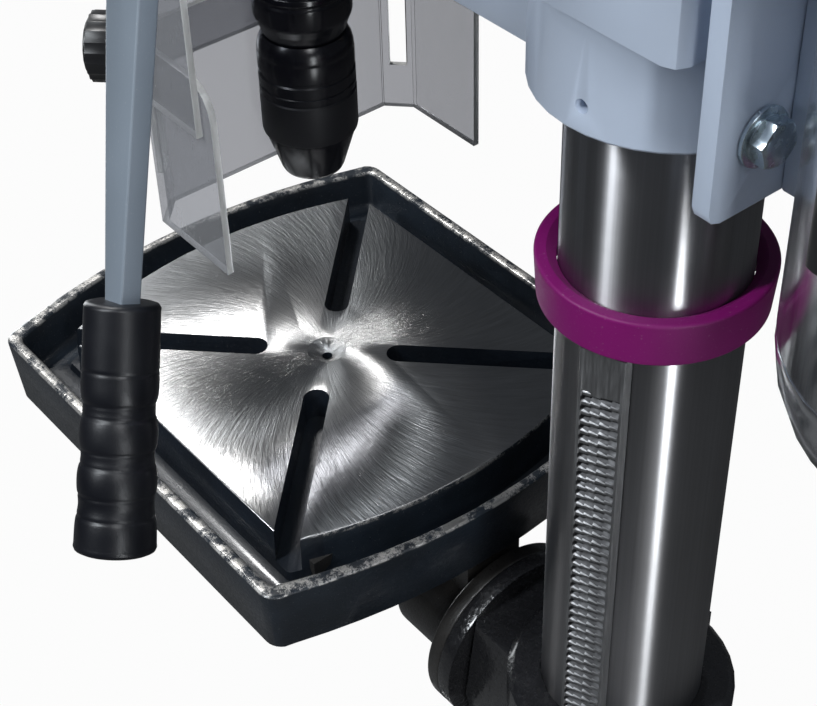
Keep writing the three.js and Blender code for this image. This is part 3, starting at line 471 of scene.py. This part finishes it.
def baked(obj):
    """Applies the object's modifiers to its mesh."""
    mesh = bpy.data.meshes.new_from_object(obj.evaluated_get(bpy.context.evaluated_depsgraph_get()))
    obj.modifiers.clear()
    obj.data = mesh


def refined(node, material, body, bevel, sharp=34, limit=32):
    """A CAD node's shape as a new piece with its flats merged and its edges broken."""
    mesh = NODES[node].data.copy()
    obj = bpy.data.objects.new(f"{node}.fine", mesh)
    bpy.context.scene.collection.objects.link(obj)
    for key in ("custom_normal", "sharp_edge", "sharp_face"):
        if key in mesh.attributes:
            mesh.attributes.remove(mesh.attributes[key])
    bm = bmesh.new()
    bm.from_mesh(mesh)
    bmesh.ops.remove_doubles(bm, verts=bm.verts, dist=2e-6)
    bmesh.ops.dissolve_limit(bm, angle_limit=math.radians(0.6), verts=bm.verts, edges=bm.edges)
    bm.to_mesh(mesh)
    bm.free()
    made = obj.modifiers.new("edges", "BEVEL")
    made.width, made.segments = bevel * MM, 2
    made.limit_method, made.angle_limit = "ANGLE", math.radians(limit)
    made.use_clamp_overlap = True
    baked(obj)
    return settle(obj, material, body, [node], sharp)


# ---------------------------------------------------------------- column, ring and rack


def tube(profile_out, profile_in, segments):
    """A turned ring: both profiles run upwards as [r, z]."""
    loop = list(profile_out) + list(profile_in)[::-1]
    rings = [[Vector((r * math.cos(a), r * math.sin(a), z)) for a in
              (2 * math.pi * k / segments for k in range(segments))] for r, z in loop]
    return loft(rings + [rings[0]], cap=False)


def build_column():
    low, high = corner("column")
    r = (high.x - low.x) / 2
    outer = [(r - 0.8, low.z), (r, low.z + 0.8), (r, high.z - 0.8), (r - 0.8, high.z)]
    bore = [(r - 5, low.z), (r - 5, high.z)]
    piece("column.bar", *tube(outer, bore, 128), "column", "stand", "polished_steel", ["column"], 50)


def build_ring():
    low, high = corner("rack_ring")
    r = (high.x - low.x) / 2
    z0, z1 = low.z, high.z
    bore = corner("column")[1].x + 0.35
    outer = fillet([(39.6, z0), (r - 1.3, z0), (r, z1), (39.2, z1), (bore, z1 - 3)], [0, 1.3, 1.4, 0.5, 0], 6)
    inner = fillet([(39.6, z0), (39.6, z1 - 7), (bore, z1 - 6), (bore, z1 - 3)], [0, 0.6, 0.4, 0])
    piece("rack_ring.collar", *tube(outer, inner, 128), "ring", "stand", "ring", ["rack_ring"], 50)


RACK_ANGLE, RACK_FACE, RACK_BACK = 20, 41.0, 35.4
RACK_HALF, TRACK_HALF, RACK_TONGUE = 9, 7.5, 11.5
GEAR_HEIGHT = 288  # a tooth lies level with the lift gear's axis
PITCH = math.pi * 1.5  # from one tooth to the next
TOOTH_LEAN, TOOTH_GAP, TRACK_DEPTH = 0.2, 1.5, 0.35


def build_rack():
    """Flat bar with a bordered track of slightly slanted teeth, and a tongue that enters the ring. The gaps
    between the teeth are painted dark as shade.
    """
    low, high = corner("rack")
    z0, z1 = low.z, high.z - RACK_TONGUE
    side = [4, TRACK_HALF - 0.2, TRACK_HALF + 0.2, RACK_HALF - 0.4, RACK_HALF]
    across = [-y for y in side[::-1]] + [0] + side
    rows = []
    z = z0
    first = GEAR_HEIGHT - math.floor((GEAR_HEIGHT - z0 - 14) / PITCH) * PITCH  # 14 or more over the foot
    last = z1 - 22
    track_top = z1 - 9.5
    while z < first - PITCH / 2:
        rows.append(z)
        z += 9
    rows += [first - PITCH / 2 + k * PITCH / 10 for k in range(int((last - first) / PITCH * 10) + 15)]
    rows += [rows[-1] + 2, z1 - 10, z1 - 0.8, z1]
    rows = [rows[0]] + sorted(set(rows[1:]))
    verts, faces = [], []
    for z in rows:
        for y in across:
            depth = 0.0
            if abs(y) < TRACK_HALF and z < track_top:
                depth = TRACK_DEPTH
                if first - PITCH / 2 < z < last + PITCH / 2:
                    phase = ((z - TOOTH_LEAN * y - first) / PITCH + 0.5) % 1 - 0.5
                    depth += TOOTH_GAP * max(0.0, min(1.0, (0.3 - abs(phase)) / 0.16))
            if abs(y) == RACK_HALF:
                depth = 0.4
            verts.append(Vector((RACK_FACE - depth, y, z)))
    n = len(across)
    for k in range(len(rows) - 1):
        for i in range(n - 1):
            faces.append((k * n + i, k * n + i + 1, (k + 1) * n + i + 1, (k + 1) * n + i))
    back = len(verts)
    for z in (rows[0], rows[-1]):
        verts += [Vector((RACK_BACK, -RACK_HALF, z)), Vector((RACK_BACK, RACK_HALF, z))]
    top = (len(rows) - 1) * n
    faces += [tuple(range(n))[::-1] + (back, back + 1), tuple(range(top, top + n)) + (back + 3, back + 2),
              (back, back + 2, back + 3, back + 1),
              tuple(k * n for k in range(len(rows)))[::-1] + (back, back + 2),
              tuple(k * n + n - 1 for k in range(len(rows))) + (back + 3, back + 1)]
    front = 38.2
    plan = ((RACK_BACK, -RACK_HALF), (front, -RACK_HALF), (front, RACK_HALF), (RACK_BACK, RACK_HALF))
    tongue = loft([[(x, y, z) for x, y in plan] for z in (z1 - 1, high.z)])
    v, f = joined((verts, faces), tongue)
    v = [turn(RACK_ANGLE, "Z") @ Vector(p) for p in v]
    obj = piece("rack.teeth", v, f, ["rack", "tooth_gap_shade"], "rack_body", "steel", ["rack"], 30)
    out = turn(RACK_ANGLE, "Z") @ Vector((1, 0, 0))
    # Faces sunk into the gaps between the teeth take the dark copy of the steel, as painted shade.
    for p in obj.data.polygons:
        gap_shade = p.center.dot(out) < (RACK_FACE - 0.7) * MM
        p.material_index = 1 if gap_shade and len(p.vertices) == 4 else 0


# ---------------------------------------------------------------- table

TROUGH = 23.0
TABLE_DEPTH = 38.5
RIM_X, RIM_Y = 111.6, 107.5  # inner edge of the rim
FLAT_X, FLAT_Y = 92.4, 93  # edge of the raised platform
SLOT_DEPTH, SLOT_HALF, SLOT_FROM, SLOT_TO = 17.7, 6.25, 36.0, 134.0
DIMPLE_R, DIMPLE_DEPTH = 10, 12


def bowed(half_x, half_y, bow, corner_r, z):
    """Table outline about the spindle axis: straight sides, bowed front and rear, round corners."""
    slope = 2 * bow / half_x * (1 - corner_r / half_x)
    steps, n = 14, 6
    edge = []
    for i in range(steps + 1):
        x = (half_x - corner_r) * (1 - 2 * i / steps)
        edge.append((x, half_y + bow * (1 - (x / half_x) ** 2)))
    start = math.atan2(1, slope)
    arc = []
    cx, cy = half_x - corner_r, edge[0][1] - corner_r
    for k in range(n + 1):
        a = start * k / n
        arc.append((cx + corner_r * math.cos(a), cy + corner_r * math.sin(a)))
    pts = arc[:-1] + edge + [(-x, y) for x, y in arc[:-1]][::-1]
    pts += [(-x, -y) for x, y in pts]
    return [(SPINDLE.x + x, SPINDLE.y + y, z) for x, y in pts]


def table_rings():
    """Outlines from the pocket under the platform, round the outside and the rim, to the platform's face."""
    top, bottom = TABLE_TOP, TABLE_TOP - TABLE_DEPTH
    floor, pocket = top - TROUGH, top - 22
    rows = [
        # half width, half depth, bow, corner radius, height
        (FLAT_X - 8, FLAT_Y - 8, 19, 6, pocket), (FLAT_X - 6, FLAT_Y - 6, 19, 6, floor - 7),
        (RIM_X - 5, RIM_Y - 5, 21, 6, floor - 7), (RIM_X - 3, RIM_Y - 3, 21, 6, bottom + 1),
        (RIM_X - 2.2, RIM_Y - 2.2, 21, 7, bottom),
        (114.1, 110.3, 19.9, 8, bottom), (115.5, 111.7, 19.9, 9, bottom + 1.6),
        (117.8, 114, 20.5, 9, top - 3.2), (117.7, 113.9, 20.5, 9, top - 1.9),
        (116.9, 113.1, 20.5, 8.4, top - 1.1), (116.2, 112.4, 20.6, 8, top - 1),
        (113.2, 109.2, 21.6, 5.5, top - 1), (112.2, 108.1, 21.9, 5, top - 1.4),
        (RIM_X, RIM_Y, 22, 4.6, top - 2.4), (110, 105.9, 22, 4.6, floor + 4),
        (108.6, 104.5, 22, 4.6, floor + 1.2), (106, 102, 22, 4.4, floor),
        (97.5, 98.5, 20, 4, floor), (94.6, 95.4, 19.2, 3.4, floor + 1.4),
        (93.6, 94.3, 19, 3, floor + 4), (92.5, 93.1, 19, 3, top - 1.1), (92.2, 92.8, 19, 2.8, top - 0.4),
        (91.6, 92.2, 19, 2.6, top)]
    return [bowed(*row) for row in rows]


def cutter(name, verts, faces):
    """A bare mesh object, for the casting and for the shapes that are cut from it."""
    mesh = bpy.data.meshes.new(name)
    mesh.from_pydata(lifted(verts), [], faces)
    bm = bmesh.new()
    bm.from_mesh(mesh)
    bmesh.ops.recalc_face_normals(bm, faces=bm.faces)
    bm.to_mesh(mesh)
    bm.free()
    obj = bpy.data.objects.new(name, mesh)
    bpy.context.scene.collection.objects.link(obj)
    return obj


def slot_shape(a):
    """A round-ended slot from near the centre out through the platform's corner."""
    half = SLOT_HALF
    path = [(SLOT_TO, -half), (SLOT_TO, half), (SLOT_FROM, half)]
    path += [(SLOT_FROM + half * math.cos(t), half * math.sin(t)) for t in
             (math.radians(d) for d in range(105, 270, 15))]
    path += [(SLOT_FROM, -half)]
    place = at(SPINDLE.x, SPINDLE.y, 0) @ turn(a, "Z")
    heights = (TABLE_TOP - SLOT_DEPTH, TABLE_TOP + 6)
    return loft([[place @ Vector((x, y, z)) for x, y in path] for z in heights])


def build_table():
    """Table casting with its four slots and the centre dimple, the ground faces in bare steel, the trough and
    the pocket under the platform in the darker stand paint as painted shade.
    """
    verts, faces = loft(table_rings())
    obj = cutter("table.casting", verts, faces)
    tools = [cutter(f"slot{a}", *slot_shape(a)) for a in (45, 135, 225, 315)]
    limit = cutter("limit", *loft([bowed(FLAT_X + 2, FLAT_Y + 2, 19, 2, TABLE_TOP + z) for z in (-18.5, 5)]))
    dimple = [(0, -DIMPLE_DEPTH), (2.5, -DIMPLE_DEPTH), (2.5, -4), (8.2, -0.35), (9.5, -0.15), (9.7, 1),
              (0, 1)]
    dimple = lathe([(r, TABLE_TOP + z) for r, z in dimple], 48, at(SPINDLE.x, SPINDLE.y, 0))
    tools.append(cutter("dimple", *dimple))
    for tool in tools[:4]:
        made = tool.modifiers.new("limit", "BOOLEAN")
        made.operation, made.object, made.solver = "INTERSECT", limit, "EXACT"
        baked(tool)
    for tool in tools:
        made = obj.modifiers.new("cut", "BOOLEAN")
        made.operation, made.object, made.solver = "DIFFERENCE", tool, "EXACT"
        baked(obj)
    edges = obj.modifiers.new("edges", "BEVEL")
    edges.width, edges.segments = 0.5 * MM, 2
    edges.limit_method, edges.angle_limit = "ANGLE", math.radians(50)
    baked(obj)
    for tool in tools + [limit]:
        bpy.data.objects.remove(tool)
    settle(obj, ["charcoal", "platform", "stand"], "table_casting", ["table"], 40)
    for p in obj.data.polygons:
        z = p.center.z / MM - RISE
        radius = math.hypot(p.center.x / MM - SPINDLE.x, p.center.y / MM - SPINDLE.y)
        ground = z > TABLE_TOP - 0.75 or (radius < DIMPLE_R and z > TABLE_TOP - DIMPLE_DEPTH - 1)
        # Faces in the trough and the pocket under the platform get the darker stand paint, as painted shade in
        # the recess.
        trough_shade = abs(p.center.x / MM) < 99 and abs(p.center.y / MM - SPINDLE.y) < 100  # of the trough
        p.material_index = 1 if ground and p.normal.z > 0.02 else 2 if trough_shade else 0


def build_table_underside():
    """Tilt boss, its ribs and the disc that faces the bracket, under the trough."""
    joint, z, disc_r, disc_t = -73.0, 313.0, 45, 7.85
    inner, web_top = TABLE_TOP - TROUGH - 6, TABLE_TOP - 13
    place = at(0, 0, z) @ turn(-90, "X")
    face = joint - disc_t
    boss = [(0, joint - 50), (30, joint - 50), (30, joint - 9), (34, face)]
    boss = fillet(boss, [0, 3, 2, 0]) + [(0, face)]
    disc = fillet([(0, face), (disc_r, face), (disc_r, joint - 0.15), (0, joint - 0.15)], [0, 1.6, 0.8, 0])

    def rib(x0, x1, y0, y1, z0, z1):
        return loft([[(x0, y0, h), (x1, y0, h), (x1, y1, h), (x0, y1, h)] for h in (z0, z1)])

    parts = [lathe(boss, 64, place), lathe(disc, 96, place), rib(-16, 16, joint - 50, joint - 12, z, inner),
             rib(-104, 104, joint - 45, joint - 37, inner - 9, inner),
             rib(-84, 84, joint - 45, joint - 37, inner, web_top),
             rib(-4, 4, SPINDLE.y - 105, joint - 40, inner - 3, inner),
             rib(-4, 4, SPINDLE.y - 92, joint - 46, inner - 3, web_top)]
    piece("table.tilt_boss", *joined(*parts), "tilt_boss", "table_casting", "cast_paint", [], 40)


# ---------------------------------------------------------------- chuck


def build_chuck():
    """Keyless chuck: a fixed upper ring and a gripping sleeve that narrows to its nose."""
    place = at(SPINDLE.x, SPINDLE.y, 0)
    top = corner("chuck_body")[1].z
    body = [(0, 550), (10.7, 550), (10.7, 529.6), (12, 529.6), (12, 581.4), (18.0, 581.6), (18.6, 583.2),
            (19.4, 586), (20.9, 589.6), (21.3, 591), (21.3, 599.6), (20.7, 600.6), (20.7, 601.6),
            (21.2, 602.4), (20.8, 604.6), (18, top), (0, top)]
    piece("chuck_body.turned", *lathe(fillet(body, 0.4, 2), 96, place), "blued", "spindle_body",
          "blued_steel", ["chuck_body"], 36)
    nose = [(11.4, 510.8), (12.6, 511.0), (13.6, 511.8), (14.4, 513.4), (20.1, 531.6), (20.2, 532.4)]
    grip = [(21.1, 533.0), (21.4, 534.4), (21.4, 552.6)]
    lines = [(20.8, 553.1), (20.8, 553.8), (21.3, 554.3), (21.3, 556.9), (20.8, 557.3), (20.8, 557.8),
             (21.3, 558.2), (21.3, 562.6), (20.7, 563.2), (20.7, 564.4), (21.2, 565), (21.2, 571.6)]
    shoulder = [(20.9, 572.6), (20.9, 573.4), (21.0, 574.2), (20.4, 577), (19.2, 579.6), (18.2, 581)]
    seat = [(12.3, 581), (12.3, 529.6)]
    mouth = [(10.6, 511.2), (10.6, 529)]
    v, f = tube(nose + grip + lines + shoulder + seat, mouth, 96)
    v = [place @ p for p in v]
    obj = piece("chuck_sleeve.turned", v, f, ["blued", "blued_matt"], "sleeve", "blued_steel",
                ["chuck_sleeve"], 36)
    for p in obj.data.polygons:
        p.material_index = 1 if 533 < p.center.z / MM - RISE < 553 else 0


# ---------------------------------------------------------------- feed levers

HUB = Vector((96, -166, 696.5))
FEED_ANGLE, FEED_SPLAY = 22.1, 22.5
# The bar's half-width at each distance from the hub
BAR = ((31, 13.5), (60, 11.8), (90, 10.05), (120, 8.3), (147, 6.7), (148.3, 6.65))
GRIP_FROM, GRIP_LENGTH, GRIP_R = 148.0, 92.3, 13.9


def on_lever(step):
    """Frame of the lever that is step degrees on from the first: z runs out along the bar."""
    return Matrix.Translation(HUB) @ turn(FEED_ANGLE + step, "X") @ turn(180 - FEED_SPLAY, "Y")


def grip_profile():
    """Ribbed handle: a plain sleeve, then finger waists with a fine line at each side, flaring to the end."""
    z0, length = GRIP_FROM, GRIP_LENGTH
    waists = [(38.8, 1.15, 4.2), (56.5, 1.15, 4.4), (74.5, 1.0, 5.0)]
    lines = [24.6, 36.6, 41.2, 54.0, 59.2, 70.6, 78.6]
    points = [(0, z0), (11.5, z0), (13.2, z0 + 0.5), (GRIP_R, z0 + 1.6)]
    steps = 150
    for k in range(1, steps):
        s = 1.6 + (length - 4.0) * k / steps
        r = GRIP_R + 1.35 * (s / length) ** 1.6
        for centre_s, depth, half in waists:
            r -= depth * math.exp(-((s - centre_s) / half) ** 2)
        for line in lines:
            r -= 0.32 * math.exp(-((s - line) / 0.55) ** 2)
        points.append((r, z0 + s))
    points += [(15.35, z0 + length - 1.9), (14.9, z0 + length - 0.8), (13.6, z0 + length - 0.15),
               (11, z0 + length), (0, z0 + length)]
    return points


def build_levers():
    """Three flat tapering bars, each with a pin that carries its grip."""
    for i, step in enumerate((0, 120, 240)):
        place = on_lever(step)
        rings = []
        for s, half in BAR:
            section = fillet([(-4, 0), (-4, half), (4, half), (4, -half), (-4, -half), (-4, 0)], 0.9, 3)[:-1]
            rings.append([place @ Vector((x, y, s)) for x, y in section])
        bar = loft(rings)
        pin = lathe([(0, 147), (4, 147), (4, 226), (0, 226)], 24, place)
        piece(f"feed_lever_{i + 1}.bar", *joined(bar, pin), "lever", "feed", "lever_metal",
              [f"feed_lever_{i + 1}"], 40)
        piece(f"feed_grip_{i + 1}.ribbed", *lathe(grip_profile(), 64, place), "grip", "feed", "grip",
              [f"feed_grip_{i + 1}"], 60)


# ---------------------------------------------------------------- bolts


def hex_head(across, z0, z1, chamfer=0.9):
    """Hexagon with the corners turned off at its top, as rings of 36 points."""
    def ring(scale, z, round_r=None):
        pts = []
        for k in range(36):
            a = 2 * math.pi * k / 36
            local = (a + math.pi / 6) % (math.pi / 3) - math.pi / 6
            r = across / 2 / math.cos(local) * scale
            if round_r is not None:
                r = min(r, round_r)
            pts.append((r * math.cos(a), r * math.sin(a), z))
        return pts
    wide = across / 2 / math.cos(math.pi / 6)
    return loft([ring(0.985, z0), ring(1, z0 + 0.25), ring(1, z1 - chamfer),
                 ring(1, z1 - chamfer * 0.45, wide * 0.945),
                 ring(0.9, z1, across * 0.47), ring(0.5, z1 + 0.05, across * 0.3)])


def hex_bolt(node, place, across, head, washer, shank, length, body):
    """Flat washer, spring washer, hexagon head and shank, with z = 0 at the face it is screwed against."""
    flat = lathe(fillet([(0, 0), (washer, 0), (washer, 1.6), (0, 1.6)], [0, 0.35, 0.45, 0], 3), 48, place)
    coil = across * 0.56
    spring = lathe(fillet([(0, 1.5), (coil, 1.5), (coil, 2.4), (0, 2.4)], [0, 0.2, 0.3, 0], 3), 48, place)
    v, f = hex_head(across, 2.3, head + 1.6)
    cap = ([place @ Vector(p) for p in v], f)
    tip = -length
    rod = lathe([(0, tip), (shank - 0.5, tip), (shank, tip + 0.5), (shank, 0.2), (0, 0.2)], 32, place)
    piece(f"{node}.hex", *joined(flat, spring, cap, rod), "zinc", body, "zinc", [node], 28)


FLANGE_BOLTS_R, FLANGE_SEAT = 66, 74.6  # circle of the flange bolts, and their washers' foot over the floor
PLATE_BOLT_X, PLATE_BOLT_Z = 31, 677


def build_bolts():
    for i, a in enumerate((60, 180, 300)):
        place = turn(a, "Z") @ at(FLANGE_BOLTS_R, 0, FLANGE_SEAT - RISE)
        hex_bolt(f"flange_bolt_{i + 1}", place, 16, 7, 9, 5, 10, "stand")
    for side, x, angle in (("left", -PLATE_BOLT_X, 40), ("right", PLATE_BOLT_X, 17)):
        face = corner(f"plate_bolt_{side}")[1].y - 7.6
        place = at(x, face, PLATE_BOLT_Z) @ turn(-90, "X") @ turn(angle, "Z")
        hex_bolt(f"plate_bolt_{side}", place, 14, 6, 10, 4, 12, "motor")


# ---------------------------------------------------------------- guard


def edge_faces(obj):
    """Gives the narrow faces of a clear sheet, which are its cut edges, the second material."""
    widest = 3.7
    for p in obj.data.polygons:
        pts = [obj.data.vertices[i].co / MM for i in p.vertices]
        size = [max(q[k] for q in pts) - min(q[k] for q in pts) for k in range(2)]
        narrow = abs(p.normal.z) > 0.5 or math.hypot(*size) < widest
        p.material_index = 1 if narrow else 0


def build_guard():
    for node, body in (("lower_shield", "lower_guard"), ("upper_shield", "upper_guard")):
        obj = refined(node, ["clear", "edge"], body, 0.35, sharp=30, limit=40)
        edge_faces(obj)


# ---------------------------------------------------------------- motor


def build_motor():
    """Polished shell, open below for the end cap, with a stepped and rounded top round the shaft."""
    low, high = corner("motor_body")
    r, cx, cy = (high.x - low.x) / 2, (high.x + low.x) / 2, (high.y + low.y) / 2
    shell = [(0, low.z), (r - 0.6, low.z), (r, low.z + 1), (r, high.z - 14), (r - 8, high.z - 3),
             (r - 20, high.z), (9, high.z), (9, low.z + 5), (0, low.z + 5)]
    shell = fillet(shell, [0, 0, 0, 5, 4, 4, 0, 0, 0], 5)
    piece("motor_body.shell", *lathe(shell, 128, at(cx, cy, 0)), "motor", "motor", "motor_metal",
          ["motor_body"], 50)


# ---------------------------------------------------------------- everything else from its CAD shape

REST = [
    # node, material, body, slot, bevel
    ("base", "stand", "stand", "cast_paint", 1.6), ("column_flange", "stand", "stand", "cast_paint", 0.8),
    ("head", "head", "stand", "head_paint", 1.6), ("head_lock_screw", "blued", "stand", "blued_steel", 0.1),
    ("cover_base", "head", "stand", "head_paint", 0.8), ("idler_post", "steel", "stand", "steel", 0.3),
    ("front_belt", "belt", "stand", "belt", 0.3), ("rear_belt", "belt", "stand", "belt", 0.3),
    ("switch_box", "black", "stand", "black_plastic", 1.0),
    ("spring_cap", "black", "stand", "black_cast", 1.0),
    ("guard_bracket", "black", "stand", "black_cast", 0.6), ("guard_pin", "brass", "stand", "brass", 0.3),
    ("table_bracket", "enamel", "carrier", "black_cast", 1.5), ("tilt_bolt", "zinc", "carrier", "zinc", 0.6),
    ("lift_gear", "steel", "gear", "steel", 0.15), ("lift_crank", "steel", "crank", "steel", 0.3),
    ("crank_grip", "black", "crank_handle", "black_plastic", 0.4),
    ("bracket_lock_lever", "steel", "bracket_lock", "steel", 0.4),
    ("cover_lid", "black", "lid", "black_plastic", 1.0), ("lid_knob", "black", "lid", "black_plastic", 0.4),
    ("spindle_pulley", "alloy", "spindle_drive", "aluminium", 0.3),
    ("idler_pulley", "alloy", "idler", "aluminium", 0.3),
    ("motor_pulley", "alloy", "rotor", "aluminium", 0.3), ("motor_shaft", "steel", "rotor", "steel", 0.3),
    ("motor_plate", "head", "motor", "head_paint", 1.2), ("slide_rod_left", "zinc", "motor", "zinc", 0.4),
    ("slide_rod_right", "zinc", "motor", "zinc", 0.4), ("motor_bracket", "head", "motor", "head_paint", 1.2),
    ("fan_cover", "motor", "motor", "motor_metal", 0.5),
    ("terminal_box", "black", "motor", "black_plastic", 1.2),
    ("tension_knob", "black", "tension_lock", "black_plastic", 0.8),
    ("start_button", "green", "start", "green_plastic", 0.4),
    ("stop_button", "red", "stop", "red_plastic", 0.6),
    ("quill", "steel", "quill_body", "steel", 0.2), ("spindle", "steel", "spindle_body", "steel", 0.3),
    ("chuck_jaw_1", "steel", "jaw_a", "steel", 0.15), ("chuck_jaw_2", "steel", "jaw_b", "steel", 0.15),
    ("chuck_jaw_3", "steel", "jaw_c", "steel", 0.15), ("feed_hub", "black", "feed", "black_plastic", 0.8),
    ("guard_knob", "black", "shield_lock", "black_plastic", 0.3),
]

for node, material, body, slot, bevel in REST:
    refined(node, material, body, bevel)
build_column()
build_ring()
build_rack()
build_table()
build_table_underside()
build_chuck()
build_levers()
build_bolts()
build_guard()
build_motor()

# ---------------------------------------------------------------- floor, light and world


def floor():
    """Pale sheet that looks white to the camera and stays dim in what the metal reflects."""
    g = Graph("floor_paper")
    base = g.mix(g.noise(0.7, 2), grey(0.10), grey(0.13))
    shader = g.node("ShaderNodeBsdfDiffuse", {"Color": base}).outputs[0]
    glow = g.node("ShaderNodeEmission", {"Color": grey(1), "Strength": 1.0}).outputs[0]
    seen = g.node("ShaderNodeLightPath").outputs["Is Camera Ray"]
    mixed = g.node("ShaderNodeMixShader", {0: g.math("MULTIPLY", seen, 0.97), 1: shader, 2: glow}).outputs[0]
    g.tree.links.new(mixed, g.out.inputs[0])
    mesh = bpy.data.meshes.new("floor")
    half, z = 6, -0.0005
    corners = [(-half, -half, z), (half, -half, z), (half, half, z), (-half, half, z)]
    mesh.from_pydata(corners, [], [(0, 1, 2, 3)])
    obj = bpy.data.objects.new("floor", mesh)
    mesh.materials.append(g.material)
    bpy.context.scene.collection.objects.link(obj)


def softbox(name, direction, distance, size, power, target, tint=(1, 1, 1)):
    """A rectangular lamp that faces its target from a distance in metres."""
    data = bpy.data.lights.new(name, "AREA")
    data.shape, data.size, data.size_y = "RECTANGLE", size[0], size[1]
    data.energy, data.color = power, tint
    obj = bpy.data.objects.new(name, data)
    away = Vector(direction).normalized()
    obj.location = Vector(target) + away * distance
    obj.rotation_euler = away.to_track_quat("Z", "Y").to_euler()
    bpy.context.scene.collection.objects.link(obj)


def world():
    """White behind the object, and a dim bluish room for everything that isn't the camera."""
    made = bpy.data.worlds.new("studio")
    bpy.context.scene.world = made
    made.use_nodes = True
    tree = made.node_tree
    tree.nodes.clear()
    out = tree.nodes.new("ShaderNodeOutputWorld")
    seen, room = tree.nodes.new("ShaderNodeBackground"), tree.nodes.new("ShaderNodeBackground")
    seen.inputs[0].default_value, seen.inputs[1].default_value = (1, 1, 1, 1), 1.0
    room.inputs[0].default_value, room.inputs[1].default_value = (0.8, 0.88, 1.0, 1), 0.07
    path, mix = tree.nodes.new("ShaderNodeLightPath"), tree.nodes.new("ShaderNodeMixShader")
    tree.links.new(path.outputs["Is Camera Ray"], mix.inputs[0])
    tree.links.new(room.outputs[0], mix.inputs[1])
    tree.links.new(seen.outputs[0], mix.inputs[2])
    tree.links.new(mix.outputs[0], out.inputs[0])


floor()
world()
TABLE_CENTRE = (SPINDLE.x * MM, SPINDLE.y * MM, (TABLE_TOP + RISE) * MM)
COLUMN_MID = (COLUMN.x * MM, COLUMN.y * MM, (TABLE_TOP + RISE + 120) * MM)
softbox("front_top", (-0.05, -0.51, 0.86), 1.7, (0.25, 0.2), 15, TABLE_CENTRE)
softbox("strip_front", (-0.05, -1, 0.0), 1.6, (0.35, 1.4), 8, COLUMN_MID, (0.93, 0.97, 1))
softbox("key_right", (0.97, -0.24, 0.95), 2.0, (0.16, 1.2), 31, COLUMN_MID, (0.9, 0.95, 1))
softbox("strip_rear", (0.36, 0.93, -0.05), 1.7, (0.2, 1.2), 9, COLUMN_MID, (0.93, 0.97, 1))
softbox("key_rear", (0.42, 0.91, 1.1), 2.0, (0.4, 0.8), 12, COLUMN_MID, (0.95, 0.97, 1))
bpy.context.scene.view_settings.view_transform = "Standard"
